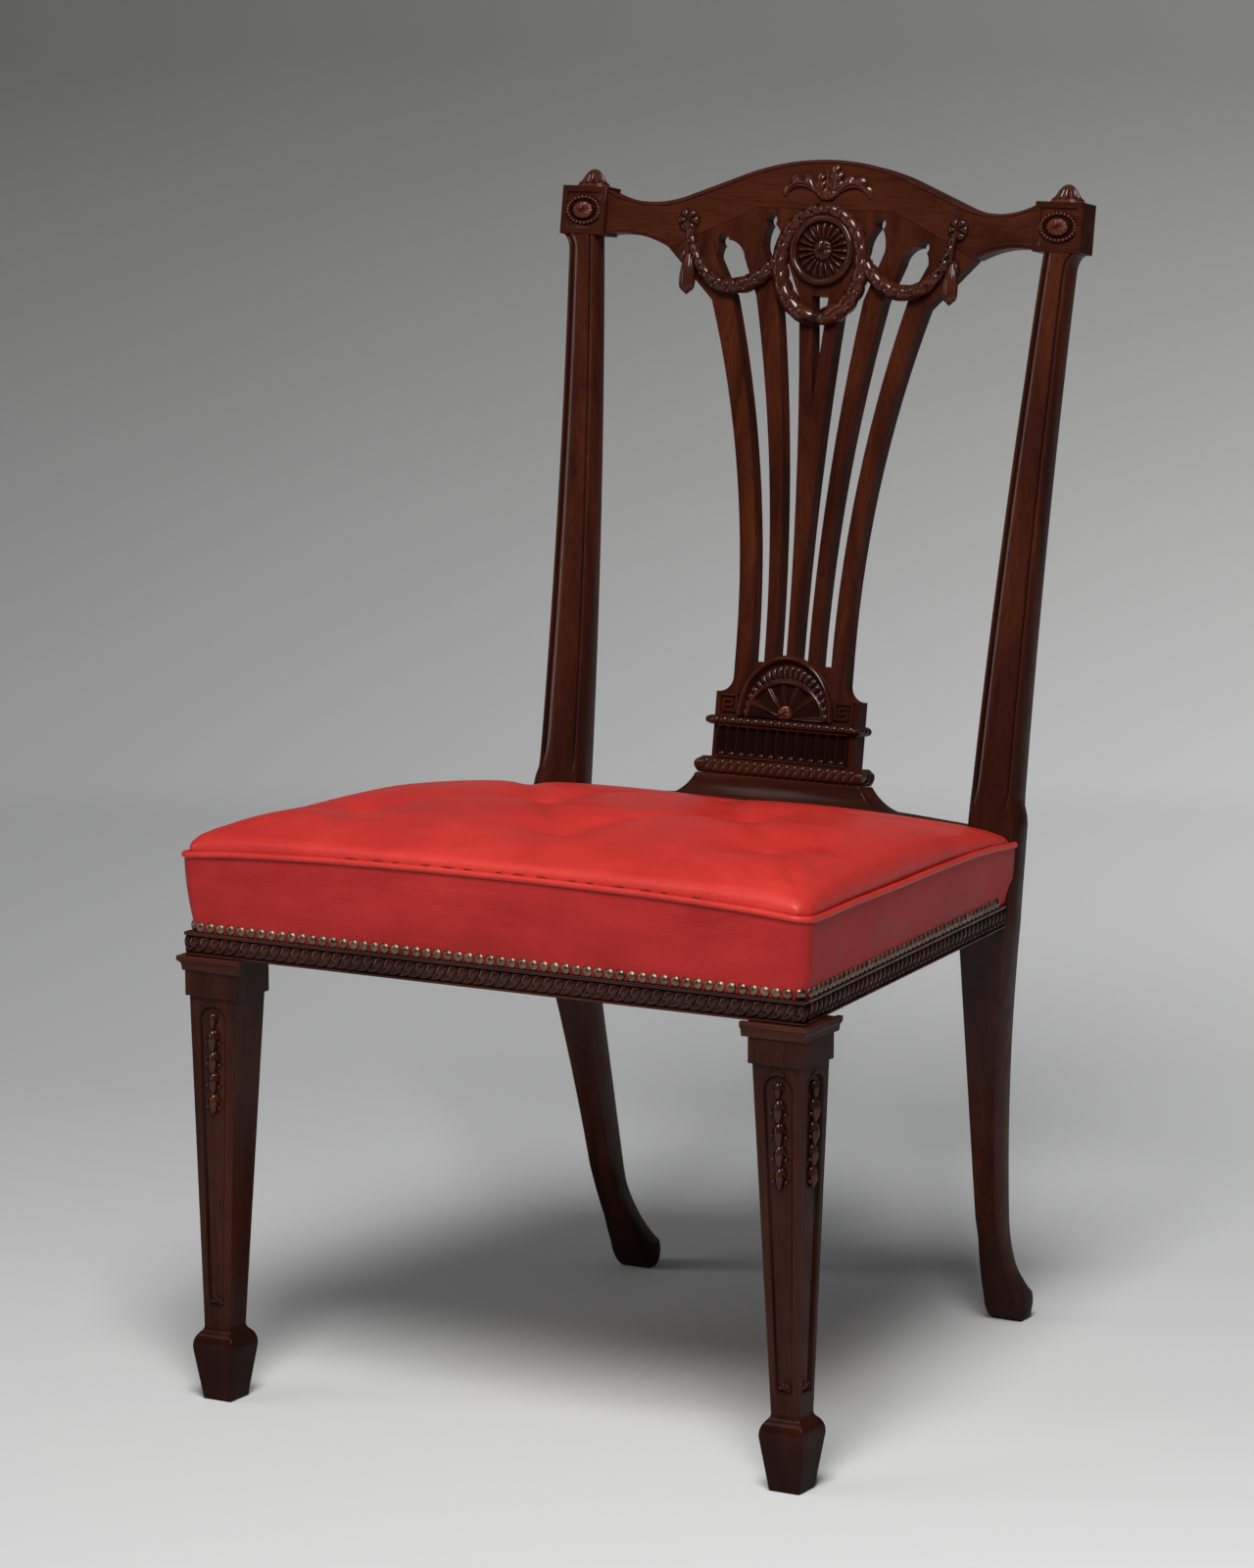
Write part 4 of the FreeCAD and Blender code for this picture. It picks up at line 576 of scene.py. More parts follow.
def woven(name, yarn, gap, pitch):
    """Plain weave of flax yarn: two sets of rounded threads that cross, over and under in turn."""
    cloth = Finish(name)
    warp, weft = (cloth.node("TexWave", {"bands_direction": axis}, {
        "Vector": cloth.place, "Scale": WAVE_LENGTH/pitch, "Distortion": 0.6, "Detail": 2.0}, "Fac")
        for axis in ("X", "Y"))
    threads = warp*weft
    fibre = cloth.noise(cloth.place, 900, 3)
    colour = cloth.mix((threads + 0.5*fibre - 0.2).clamped(), (*gap, 1), (*yarn, 1))
    return cloth.finish(Base_Color=colour, Roughness=fibre.clamped(0.3, 0.7, 0.75, 0.95),
                        Normal=cloth.bumped(threads + 0.3*fibre, 0.5, 0.001))


UPRIGHT_MAHOGANY = polished_mahogany("mahogany_upright", 2)
# the front legs' darker tone is painted shade on the same mahogany
SHADED_LEG_MAHOGANY = polished_mahogany("mahogany_leg_shaded", 2, 0.68, 0.27)
FAN_MAHOGANY = polished_mahogany("mahogany_fan", 2, 0.86, 0.20)
CREST_MAHOGANY = polished_mahogany("mahogany_crest", 0, 0.95, 0.26)
LEVEL_MAHOGANY = polished_mahogany("mahogany_level", 0)
CARVED_MAHOGANY = polished_mahogany("mahogany_carved", 0, 0.85, 0.62, 0.15)
SEAT_LEATHER = red_leather("leather_seat", (0.58, 0.033, 0.022), (0.44, 0.018, 0.014))
# the border is a darker copy of the red leather: painted shade on its steep sides
SHADED_BORDER_LEATHER = red_leather("leather_border_shaded", (0.46, 0.027, 0.026), (0.29, 0.014, 0.014), True)
THREAD = red_leather("stitching_thread", (0.16, 0.016, 0.014), (0.10, 0.010, 0.010))
NAIL_BRASS = aged_brass("brass_nails_aged")
BEECH = plain_beech("beech_bare")
WEBBING = woven("webbing_flax", (0.42, 0.31, 0.18), (0.16, 0.11, 0.06), 0.0022)
HESSIAN = woven("hessian_jute", (0.46, 0.33, 0.18), (0.10, 0.07, 0.04), 0.0030)

# Frame of the chair: construction pieces with worn edges, then those that only take a finish
for node, finish, width in (
        ("crest_rail", CREST_MAHOGANY, 0.45), ("splat", FAN_MAHOGANY, 0.45), ("splat_shoe", CREST_MAHOGANY, 1.0),
        ("back_seat_rail", LEVEL_MAHOGANY, 0.8)):
    eased(node, finish, width)
for finish, nodes in (
        (BEECH, ("front_seat_rail", "side_seat_rail_left", "side_seat_rail_right", "front_corner_block_left",
                 "front_corner_block_right", "back_corner_block_left", "back_corner_block_right")),
        (WEBBING, ("seat_webbing_lengthways", "seat_webbing_crossways")), (HESSIAN, ("seat_hessian",))):
    for node in nodes:
        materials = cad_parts[node].data.materials
        materials.clear()
        materials.append(finish)


def back_leg(name, side):
    """Back leg with its stile: at each height a section between four edge lines. The stile's front is a broad round
    between two fine beads, which fades out at the seat; the back corners are rounded; below the tablet the outer side
    spreads in a cove; the top is cut along the raked underside of the tablet."""
    cut = 893.5
    z = column((0, 110, 51), (115, 430, 36), (436, 880, 60), (881.5, cut, 10))
    toe = np.where(z < CLUB_TOP, arc_line(z, (257.5, 0), (242, CLUB_TOP), -60),
                   arc_line(z, (242, CLUB_TOP), (205, SWEEP_TOP), -387))
    heel = np.where(z < CLUB_TOP, arc_line(z, (270.5, 0), (276.5, CLUB_TOP), 24),
                    arc_line(z, (276.5, CLUB_TOP), (230, SWEEP_TOP), -125))
    y_front = np.where(z < SWEEP_TOP, toe, np.interp(z, (SWEEP_TOP, 350, STILE_TOP), (205, 150, 239.7)))
    y_back = np.where(z < SWEEP_TOP, heel, np.interp(z, (SWEEP_TOP, 363, STILE_TOP), (230, 182.7, 260.6)))
    bowed = arc_line(z, (193, 50), (226, RAIL_LOW), -2200)
    stile_outer = arc_line(z, (222, 452), (234, STILE_TOP), -8000)
    stile_inner = arc_line(z, (184.5, STILE_FOOT), (210.5, STILE_TOP), -8000)
    x_outer = np.select([z < 50, z < RAIL_LOW, z < STILE_FOOT, z < 452],
                        [197 - 0.08*z, bowed, 226 + 0*z, 226 - (z - STILE_FOOT)/3], stile_outer)
    x_inner = np.where(z < STILE_FOOT, np.interp(z, (0, 80, RAIL_LOW), (162, 174, 184.5)), stile_inner)
    cove = np.clip((z - 880)/14, 0, 1)
    tuck = 4*(1 - np.sqrt(1 - np.clip(1 - z/20, 0, 1)**2))
    x_outer = x_outer + 8.5*(1 - np.sqrt(1 - cove**2)) - tuck
    x_inner = x_inner + tuck
    share = np.linspace(0, 1, 49)[None]
    width = x_outer - x_inner
    edge = width*np.minimum(share, 1 - share)
    bead = 1.25*bump(edge, 1.7, 1.7) - 1.35
    crown = 2.9*bump((share - 0.5)*width, 0, width/2 - 4.0) - 1.9
    moulded = np.where(edge < 3.4, bead, np.where(edge < 4.2, -2.1, crown))
    fade = smooth(446, 470, z)
    plain = -0.9*(1 - bump(np.minimum(edge, 2.0), 2.0, 2.0))
    front = stacked(x_inner + width*share, y_front - (fade*moulded + (1 - fade)*plain), z)
    rounding = 2.4*(1 - bump(np.minimum(edge, 2.4), 2.4, 2.4))
    back = stacked(x_inner + width*share, y_back - rounding, z)[:, ::-1]
    section = np.concatenate([front, back], 1)
    tilt = (section[..., 1] - BACK_FOOT_Y - 444.0*math.sin(RAKE))/math.cos(RAKE)
    top = BACK_FOOT_Z + 444.1*math.cos(RAKE) - tilt*math.sin(RAKE)
    section[..., 2] += smooth(780, cut, z)*(top - cut)
    section[..., 0] *= side
    # darker towards the foot of the leg
    foot_darkening = 0.45*(1 - smooth(20, 140, z)) + 0*edge
    # painted shade in the groove between each bead and the round of the stile's front
    hollow = np.maximum(fade*0.8*np.exp(-((edge - 3.8)/1.2)**2), foot_darkening)
    shade = np.pad(np.concatenate([hollow, foot_darkening], 1), ((1, 1), (0, 0)), "edge")
    make("back_leg_%s_moulded" % name, Shell().add(capped(section), shade), UPRIGHT_MAHOGANY, "mahogany_frame",
         ("back_leg_" + name,), 60)


for name, side in SIDES.items():
    back_leg(name, side)


# Carving on the crest rail and the splat
def medallion_relief(r, angle):
    """Round patera: a rolled rim, a ring of raised tongues round the dish, and a petalled boss."""
    tongue = 0.5 + 0.5*np.cos(20*angle)
    rim = 1.2 + 5.0*bump(r, 0.885, 0.125)
    dish = 1.0 + 3.4*(tongue**0.8*bump(r, 0.53, 0.25))
    boss = 2.2 + 3.6*bump(r, 0, 0.29)*(0.80 + 0.20*np.cos(8*angle + 14*r))
    # painted shade in the dish between the tongues
    shade = np.where((r > 0.29) & (r < 0.79), 0.85 - 0.9*tongue*bump(r, 0.53, 0.26), 0.1)
    return np.where(r > 0.77, rim, np.where(r < 0.285, boss, dish)), shade


carve("medallion_carved", carved_disc(Shell(), on_back, (0, 440.2), (30.2, 30.2), medallion_relief, (90, 240)),
      ("medallion",))

wreath = Shell()
for side in SIDES.values():
    turn = half_turn(70)
    half_ring = stacked(side*38.2*np.cos(turn), 429.3 + 45.2*np.sin(turn), 2.6)
    garland(half_ring, np.linspace(6.8, 4.2, 70), 10, (20, 5.4, 2.6), wreath)
carve("laurel_wreath_carved", wreath, ("laurel_wreath",))


def rosette_relief(r, angle):
    """Small flower: six round petals about a drilled eye."""
    petal = np.abs(np.cos(3*angle))
    rise = 0.6 + 3.6*bump(r, 0.58, 0.46)*(0.35 + 0.65*petal**0.5) + 2.6*bump(r, 0, 0.24)
    # painted shade between the petals and in the drilled eye
    return rise, 0.7*(1 - bump(r, 0.58, 0.5)*petal)


def husk_drop(side):
    """Ribbon that hangs from a rosette, and a husk of five long pods below it: two behind, one in front of them, and
    two short ones at the neck, each a leaf with its own lean, length, width and height."""
    shell = Shell()
    ribbon = bezier([(126, 459, 3.4), (124, 452, 3.6), (123, 444, 3.6), (123.2, 433, 3.2)], 16, side)
    shell.add(on_back(tube(ribbon, np.linspace(2.2, 1.6, 16))))
    form = leaf_form(16, 14, 0.3, 1.4, 0.5, 0.45)
    for lean, *size in ((-0.1, 36, 3.8, 4.4), (0.1, 36, 3.8, 4.4), (0, 39, 5.4, 6.0), (-0.3, 13, 2.2, 5.0),
                        (0.3, 13, 2.2, 5.0)):
        pod = scattered(form, (side*123.2 + 9*lean, 437, 1.4), (lean, -1, 0), size)
        shell.add(on_back(pod), leaf_shade(form))
    return shell


for name, side in SIDES.items():
    rosette = carved_disc(Shell(), on_back, (side*126, 460.6), (9.6, 9.6), rosette_relief, (26, 72))
    carve("crest_rosette_%s_carved" % name, rosette, ("crest_rosette_" + name,))
    rope = bezier([(123, 455, 2.2), (113, 396, 3.4), (64, 396, 3.4), (42, 431, 2.6)], 70, side)
    thick = 2.4 + 3.3*np.sin(np.linspace(0.12, math.pi - 0.45, 70))
    carve("laurel_swag_%s_carved" % name, garland(rope, thick, 9, (17.5, 4.8, 2.6), Shell()), ("laurel_swag_" + name,))
    carve("husk_drop_%s_carved" % name, husk_drop(side), ("husk_drop_" + name,))


def lobed_leaf(shell, spine, widths, rise, lobes, side):
    """Half of an acanthus leaf on one side of a spine: its width is cut into round lobes that lean forwards, its top is
    a dome across it, and grooves between the lobes run in and fade out. Its back is in the wood."""
    s = np.linspace(0, 1, len(spine))[:, None]
    t = np.linspace(0, 1, 15)[None]
    heading = unit(np.gradient(spine, axis=0))[:, None]
    aside = side*np.cross(heading, UP)
    lobe = np.abs(np.sin(math.pi*lobes*s))**0.55
    width = np.interp(s, np.linspace(0, 1, len(widths)), widths)*(0.5 + 0.5*lobe)
    groove = (1 - lobe)*smooth(0.1, 0.7, t)
    front = spine[:, None] + aside*(width*t)[..., None] + heading*(0.6*width*t**2)[..., None]
    dome = rise*np.sin(math.pi*t**0.6)**0.6*(1 - 0.75*groove)*np.sqrt(np.sin(math.pi*(0.06 + 0.90*s)))
    front[..., 2] += dome
    back = front[:, ::-1].copy()
    back[..., 2] = BURIED
    # painted shade in the grooves between the lobes and along the spine; the rest is rubbed a little
    shade = np.concatenate([np.clip(0.9*groove + 0.8*(t < 0.06) - 0.2, -0.3, 0.9), 0*groove], 1)
    shell.add(on_back(capped(np.concatenate([front, back], 1))), np.pad(shade, ((1, 1), (0, 0))))


def leaf_spray():
    """Two side leaves that droop, a low inner leaf to the left, a tall one to the right, and a stem between them."""
    shell = Shell()
    for side in SIDES.values():
        droop = bezier([(5, 482, 1.0), (13, 495, 2.0), (32, 501, 2.0), (39, 484, 0.6)], 90, side)
        lobed_leaf(shell, droop, (3.0, 6.4, 8.4, 8.2, 6.6, 3.6), 3.0, 4, -side)
        lobed_leaf(shell, droop, (1.2, 2.0, 2.2, 2.0, 1.2), 1.8, 1, side)
    low = bezier([(-2.5, 482, 1.2), (-5.5, 489, 2.2), (-8.5, 497, 2.6), (-5.5, 504, 1.6)], 70)
    tall = bezier([(2.5, 482, 1.2), (5.5, 491, 2.2), (8.0, 502, 2.6), (5.0, 511.5, 1.6)], 80)
    for edge in (-1, 1):
        lobed_leaf(shell, low, (3.4, 6.0, 5.8, 4.2, 2.0), 3.0, 3, edge)
        lobed_leaf(shell, tall, (3.4, 7.2 + edge, 7.0 + 1.5*edge, 5.2 + edge, 2.2), 3.2, 4, edge)
    stem = np.linspace((0, 482, 2.4), (-0.5, 507, 2.4), 14)
    return shell.add(on_back(tube(stem, np.linspace(1.5, 0.8, 14))), -0.2)


carve("leaf_spray_carved", leaf_spray(), ("leaf_spray",), 60)

# Fine beads worked along the top edge of the crest rail and the lower edges of its arms
crown = arc_path((0, 516.5), (85, 498.5), -221, 30)
sweep = arc_path((127, 482), (201, 484.5), 94, 30)
upper_edge = np.concatenate([crown, sweep]) - (0, 2.6)
lower_edge = arc_path((200, 446.5), (144, 439.5), 92, 24) + (0, 2.4)
beads = Shell()
for side in SIDES.values():
    for line in (upper_edge, lower_edge):
        beads.add(on_back(tube(stacked(side*line[:, 0], line[:, 1], 0), 1.5, 10, 0.7)))
make("crest_edge_beads", beads, CREST_MAHOGANY, "mahogany_carving", (), 80)


# Tablets at the ends of the crest rail
def patera_relief(r, angle):
    """Oval patera: a flat field with painted shade and a ribbed bud in the middle."""
    bud = 0.8 + 5.0*bump(r, 0, 0.60)*(0.88 + 0.12*np.cos(12*angle + 5*r))
    return np.where(r < 0.60, bud, 0.6), np.where(r < 0.55, -0.35, 0.9)


def tablet_patera(middle):
    """Oval patera with a ring of 26 pearls round its field."""
    surface = raked(TABLET_PROUD)
    shell = carved_disc(Shell(), surface, (middle, TABLET_V), (17.2, 12.9), patera_relief, (50, 192))
    turn = full_turn(26)
    pearls = stacked(middle + 15.2*np.cos(turn), TABLET_V + 11.0*np.sin(turn), 1.0)
    return shell.add(surface(scattered(berry_form(7, 10), pearls, (1, 0, 0), (1.6, 1.6, 2.0))), -0.2)


FINIAL_HEIGHT = (15.6, 15.3, 14.4, 13.0, 11.2, 9.2, 7.2, 5.4, 4.0, 3.1, 2.7, 2.2, 1.6, 1.0, -0.4)
FINIAL_RADIUS = (0, 0.14, 0.26, 0.38, 0.49, 0.58, 0.66, 0.74, 0.84, 0.95, 0.90, 0.91, 0.96, 1, 1)


def tablet_finial(middle):
    """Leafy dome on a low sloped foot: a turned outline of radius and height, flattened from front to back, with
    ribs that fade at the tip and end in scallops."""
    step = np.linspace(0, 1, 56)[:, None]
    knots = np.linspace(0, 1, len(FINIAL_HEIGHT))
    height = np.interp(step, knots, FINIAL_HEIGHT)
    radius = np.interp(step, knots, FINIAL_RADIUS)
    angle = full_turn(144)[None]
    ribs = np.abs(np.cos(6*angle))**0.7
    ribbed = smooth(0.12, 0.35, step)*(1 - smooth(0.58, 0.68, step))
    radius = radius*(1 - 0.16*ribbed*(1 - ribs))
    sheet = stacked(middle + 15.5*radius*np.cos(angle), 485.3 + height, 5.5 + 9.5*radius*np.sin(angle))
    sheet = np.concatenate([sheet, sheet[-1:].mean(1, keepdims=True).repeat(sheet.shape[1], 1)])
    # painted shade in the grooves between the ribs and along their scalloped ends; the rest is rubbed a little
    shade = np.pad(0.9*ribbed*(1 - ribs) + 0.5*bump(step, 0.68, 0.05) - 0.25, ((0, 1), (0, 0)))
    return Shell().add(raked(0)(sheet), shade)


for name, side in SIDES.items():
    carve("tablet_patera_%s_carved" % name, tablet_patera(side*TABLET_U), ("tablet_patera_" + name,))
    carve("tablet_finial_%s_carved" % name, tablet_finial(side*TABLET_U), ("tablet_finial_" + name,))

# Pedestal of the splat
ON_PEDESTAL = raked(PEDESTAL_PROUD)


def lunette_relief(r, angle):
    """Half-round patera: an outer roll, a hollow with a ring of short flutes, an inner roll along a flatter arch, and a
    fan of hollow panels with thin ribs between them."""
    inner = 1/np.hypot(np.cos(angle)/0.79, np.sin(angle)/0.575)
    ring = (r - inner)/(0.91 - inner)
    flute, rib = np.abs(np.sin(20*angle)), np.abs(np.cos(5.5*angle))
    flutes = 0.8 + 2.0*flute**0.7*bump(ring, 0.42, 0.34)
    fan = 0.7 + 1.8*rib**14*smooth(0.1, 0.35, r)
    rolls = np.maximum(4.8*bump(r, 0.955, 0.052), 3.8*bump(r, inner, 0.05))
    # painted shade in the flutes and the fan's hollow panels; the rolls are left light
    hollows = np.where(r > inner, 0.95 - 0.9*flute*bump(ring, 0.42, 0.4), 0.85 - 0.6*rib**8)
    shade = np.where(r > 0.90, 0.1, np.where(np.abs(r - inner) < 0.045, 0.05, hollows))
    return np.maximum(np.where(r > inner, flutes, fan), rolls), shade


def flower_relief(r, angle):
    """Boss of five petals that twist about a bud, rubbed on top."""
    return 0.5 + 5.2*bump(r, 0, 1)*(0.82 + 0.18*np.cos(5*angle + 5*r)), -0.35*(r < 0.85)


lunette = carved_disc(Shell(), ON_PEDESTAL, (0, 50), (45, 53), lunette_relief, (110, 330), math.pi)
carved_disc(lunette, ON_PEDESTAL, (0, 54.5), (7.0, 7.0), flower_relief, (24, 70))
carve("lunette_carved", lunette, ("lunette_patera",))


def pedestal_fluting():
    """Frieze of hollow channels between thin ribs: each channel is the root of a half round across and fades out at its
    ends, with a bead at its foot."""
    channels, half = 13, 61
    across = np.linspace(0, channels, 14*channels + 1)[None]
    level = np.array((14.6, 15.0, 15.6, 16.5, 20, 25, 30, 36, 38.5, 40, 41, 41.6))[:, None]
    hollow = bump(2*(across % 1), 1, 1)**0.5
    inside = smooth(14.8, 16.6, level)*(1 - smooth(38.3, 40.6, level))
    frieze = stacked(-half + 2*half*across/channels, level, 4.4 - 4.1*hollow*inside)
    ring = np.concatenate([frieze, frieze[::-1]*(1, 1, 0) - (0, 0, 0.6)])
    sheet = np.swapaxes(capped(np.swapaxes(ring, 0, 1)), 0, 1)
    # painted shade in the channels
    shade = np.pad(np.concatenate([hollow*inside, 0*hollow*inside]), ((0, 0), (1, 1)))
    spots = stacked(-half + 2*half*(np.arange(channels) + 0.5)/channels, 17.2, 2.4)
    drops = scattered(berry_form(8, 12), spots, (0, 1, 0), (2.3, 2.9, 2.0))
    return Shell().add(ON_PEDESTAL(sheet), shade, ring=False, loop=True).add(ON_PEDESTAL(drops))


def bar_form():
    """Bar of unit length with a flat top and eased edges, closed at both ends."""
    section = np.array(((-1, -0.4), (-1, 0.8), (-0.75, 1), (0.75, 1), (1, 0.8), (1, -0.4)))
    return capped(stacked(np.linspace(0, 1, 2)[:, None], section[None, :, 0], section[None, :, 1]))


def key_fret():
    """Square spiral of bars on each side of the lunette; each bar runs on by its half width at both ends."""
    half = 0.9
    key = np.array(((0, 0), (16, 0), (16, 17), (0, 17), (0, 4), (12, 4), (12, 13), (4, 13), (4, 8.5), (8.5, 8.5)))
    shell = Shell()
    for side in SIDES.values():
        corners = stacked(side*(46.5 + key[:, 0]), 49.5 + key[:, 1], 0)
        way = np.diff(corners, axis=0)
        sizes = stacked(np.linalg.norm(way, axis=1) + 2*half, half, 1.9)
        shell.add(ON_PEDESTAL(scattered(bar_form(), corners[:-1] - half*unit(way), way, sizes)))
    return shell


carve("pedestal_fluting", pedestal_fluting(), (), 60)
carve("pedestal_key_fret", key_fret(), (), 50)


def round_pedestal(points):
    """Plan of the pedestal, w to the back, and height, turned by the rake."""
    return raked(0)(points[..., (0, 2, 1)]*(1, 1, -1))


def pedestal_line(half):
    """Line round the front and the two sides of the pedestal."""
    return (-half, 13.6), (-half, -2.1), (half, -2.1), (half, 13.6)


def gadroons(distance, out, up):
    """Slanted lobes with a groove between each two, on the round of the moulding only."""
    part = ((distance - 0.5*up)/7.6) % 1
    lobe = np.abs(np.sin(math.pi*part))**0.6
    on = bump(up, 6.4, 5.4)*(out > 3)
    # painted shade in the grooves between the lobes
    return -2.3*(1 - lobe)*on, 0.85*(1 - lobe)*on


def reel(distance, out, up):
    """Long beads with a nick between each two."""
    part = np.abs(np.sin(math.pi*distance/7.4))**0.45
    on = bump(up, 45, 3.6)*(out > 2.5)
    # painted shade in the nicks between the beads
    return -2.0*(1 - part)*on, 0.8*(1 - part)*on


turn = half_turn(15)
gadroon = [(-0.3, 0.3), (7.5, 0.3), *zip(8.0 + 3.9*np.cos(turn), 6.4 + 5.2*np.sin(turn)),
           (7.0, 12.0), (5.5, 13.0), (3.8, 13.6), (3.4, 14.2), (-0.3, 14.2)]
flatter = np.array(gadroon)*(0.62, 1)
carve("gadroon_carved", moulding(pedestal_line(72), 0.55, flatter, round_pedestal, gadroons),
      ("splat_gadroon_moulding",), 70)
bead = [(-0.3, 41.2), (2.6, 41.2), (2.9, 41.6), *zip(3.0 + 3.2*np.cos(turn), 45 + 3.2*np.sin(turn)),
        (2.9, 48.4), (2.6, 48.8), (-0.3, 48.8)]
carve("bead_carved", moulding(pedestal_line(67), 0.5, bead, round_pedestal, reel), ("splat_bead_moulding",), 70)


# Seat rails and front legs
def side_x(y, inset=0.0):
    """Half width of the seat's plan at a depth."""
    return SEAT_HALF - SEAT_SLOPE*(y - SEAT_FRONT) - inset*SEAT_STRETCH


def fall(y):
    """How far the rails have fallen at a depth."""
    return RAIL_FALL*(y - SEAT_FRONT)/SEAT_DEPTH


def on_rails(points):
    """Plan and height above the rails' lower edge."""
    x, y, up = np.moveaxis(points, -1, 0)
    return stacked(x, y, RAIL_LOW + up - fall(y))


def overlapping_lobes(distance, out, up):
    """Slanted leaf lobes that overlap like scales, each with a drilled eye, between the two fillets."""
    band = (up > 2.1) & (up < 15.7) & (out < -1.5) & (out > -3.2)
    part = ((distance - 0.62*(up - 9) + 0.035*(up - 9)**2)/9.5) % 1
    lobe = bump(2*part**0.75, 1, 1)
    eye = np.exp(-((part - 0.38)/0.13)**2 - ((up - 6.8)/1.35)**2)
    rise = 3.0*lobe*bump(up, 8.9, 7.2) - 1.9*eye
    # painted shade between the lobes and in the drilled eyes
    return band*rise, band*np.clip(0.95 - 1.05*lobe*bump(up, 8.9, 7.4) + 0.9*eye, 0, 1)


BAND_BACK = 153
band = [(-7.6, 0.3), (-0.6, 0.3), (-0.2, 0.6), (-0.2, 1.5), (-0.6, 1.8), (-2.9, 2.0),
        *((-2.9, up) for up in np.linspace(2.4, 15.4, 16)),
        (-2.9, 15.8), (-0.5, 16.0), (0, 16.4), (0, 18.4), (-0.5, 18.95), (-7.6, 18.95)]
round_rails = ((-side_x(BAND_BACK), BAND_BACK), (-SEAT_HALF, SEAT_FRONT), (SEAT_HALF, SEAT_FRONT),
               (side_x(BAND_BACK), BAND_BACK))
carve("rail_moulding_carved", moulding(round_rails, 0.62, band, on_rails, overlapping_lobes),
      ("front_rail_moulding", "side_rail_moulding_left", "side_rail_moulding_right"), 70)

CAPITAL_FOOT, CAPITAL_REACH = 349, 52.5
cove = np.linspace(0, 0.5*math.pi, 9)
capital = [(0.15, 0.1), (1.2, 0.1), (1.5, 0.4), (1.5, 1.5), *zip(4.2 - 2.6*np.cos(cove), 1.9 + 5.6*np.sin(cove)),
           (4.2, 8.0), (4.7, 8.3), (4.7, 11.5), (4.4, 11.9), (0.15, 11.9)]
for name, side in SIDES.items():
    round_block = [(side*(SEAT_HALF - CAPITAL_REACH), SEAT_FRONT), (side*SEAT_HALF, SEAT_FRONT),
                   (side*SEAT_HALF, SEAT_FRONT + CAPITAL_REACH)][::side]
    moulded = moulding(round_block, 4.0, capital, lambda points: points + CAPITAL_FOOT*UP)
    make("leg_capital_%s_moulded" % name, moulded, LEVEL_MAHOGANY, "mahogany_carving", ("leg_capital_" + name,), 35)

SPADE_AT = (0, 1.2, 40, 43.5, 47, 50, 52.5, 54.5, 56, 57.5, SPADE_TOP)
SPADE_HALF = (12.3, 13.1, 18.6, 19, 18.7, 17.9, 16.7, 15.1, 13.6, 12.6, 12.07)


def leg_section(z):
    """Middle and half width of a front leg at a height: spade foot with a round shoulder, tapered shaft, block and
    post, which is drawn in beneath the leather."""
    half = np.select([z < SPADE_TOP, z < BLOCK_FOOT, z < RAIL_LOW],
                     [np.interp(z, SPADE_AT, SPADE_HALF), 12 + 9.5*(z - SHAFT_FOOT)/SHAFT_LENGTH, 24], 18.25)
    drift = np.clip((BLOCK_FOOT - z)/SHAFT_LENGTH, 0, 1)
    inwards = 5.75*(z >= RAIL_LOW)
    return 252 + 4*drift - inwards, -264 - 2.5*drift + inwards, half


def front_leg(name, side):
    """Square sections with eased corners, face by face. The front and outer faces have a sunk panel, whose depth comes
    from the distance inside its tapered sides and arched head, with a fine bead round it."""
    z = column((0, 1.2, 3), (3, 42, 10), (43, 62, 28), (64, 76.5, 5), (77.2, 80, 7), (84, 300, 30), (303, 323, 32),
               *((at, at, 1) for at in (326, 328.98, BLOCK_FOOT, 329.9, 345, 360.98, RAIL_LOW, 387, 412, 413)))
    x, y, half = leg_section(z)
    ease = np.where(z < RAIL_LOW, 1.1, 6.0)
    across = (half - ease*(1 - math.sqrt(0.5)))*np.sin(0.5*math.pi*np.linspace(-1, 1, 55))[None, :-1]
    out = half - ease + np.sqrt(ease**2 - np.maximum(np.abs(across) - half + ease, 0)**2)
    above = z - PANEL_FOOT
    tapered = PANEL_NARROW + (PANEL_WIDE - PANEL_NARROW)*above/(PANEL_SPRING - PANEL_FOOT) - np.abs(across)
    inside = np.where(z > PANEL_SPRING, PANEL_WIDE - np.hypot(across, z - PANEL_SPRING), np.minimum(tapered, above))
    shaft = (z > SPADE_TOP) & (z < BLOCK_FOOT)
    sunk = shaft*(2.0*smooth(-0.1, 0.7, inside) - 0.5*bump(inside, -1.8, 1.0))
    # darker towards the foot of the leg, on all four faces
    foot_darkening = 0.45*(1 - smooth(25, 90, z)) + 0*across
    # painted shade along the inside of the sunk panel's edge
    dark = np.maximum(shaft*0.8*np.exp(-((inside - 0.5)/0.9)**2), foot_darkening)
    faces = ((x + across, y - out + sunk), (x + out - sunk, y + across), (x - across, y + out), (x - out, y - across))
    section = np.concatenate([stacked(side*a, b, z) for a, b in faces], 1)
    shade = np.pad(np.concatenate([dark, dark, foot_darkening, foot_darkening], 1), ((1, 1), (0, 0)), "edge")
    make("front_leg_%s_panelled" % name, Shell().add(capped(section), shade), SHADED_LEG_MAHOGANY, "mahogany_frame",
         ("front_leg_" + name,), 50)


for name, side in SIDES.items():
    front_leg(name, side)


def leg_face(side, outer):
    """Floor of the sunk panel of a front leg: (across, height, rise) on its front or its outer face."""
    def surface(points):
        across, z, rise = np.moveaxis(points, -1, 0)
        x, y, half = leg_section(z)
        if outer:
            return stacked(side*(x + half - PANEL_FLOOR + rise), y + across, z)
        return stacked(side*x + across, y - half + PANEL_FLOOR - rise, z)
    return surface


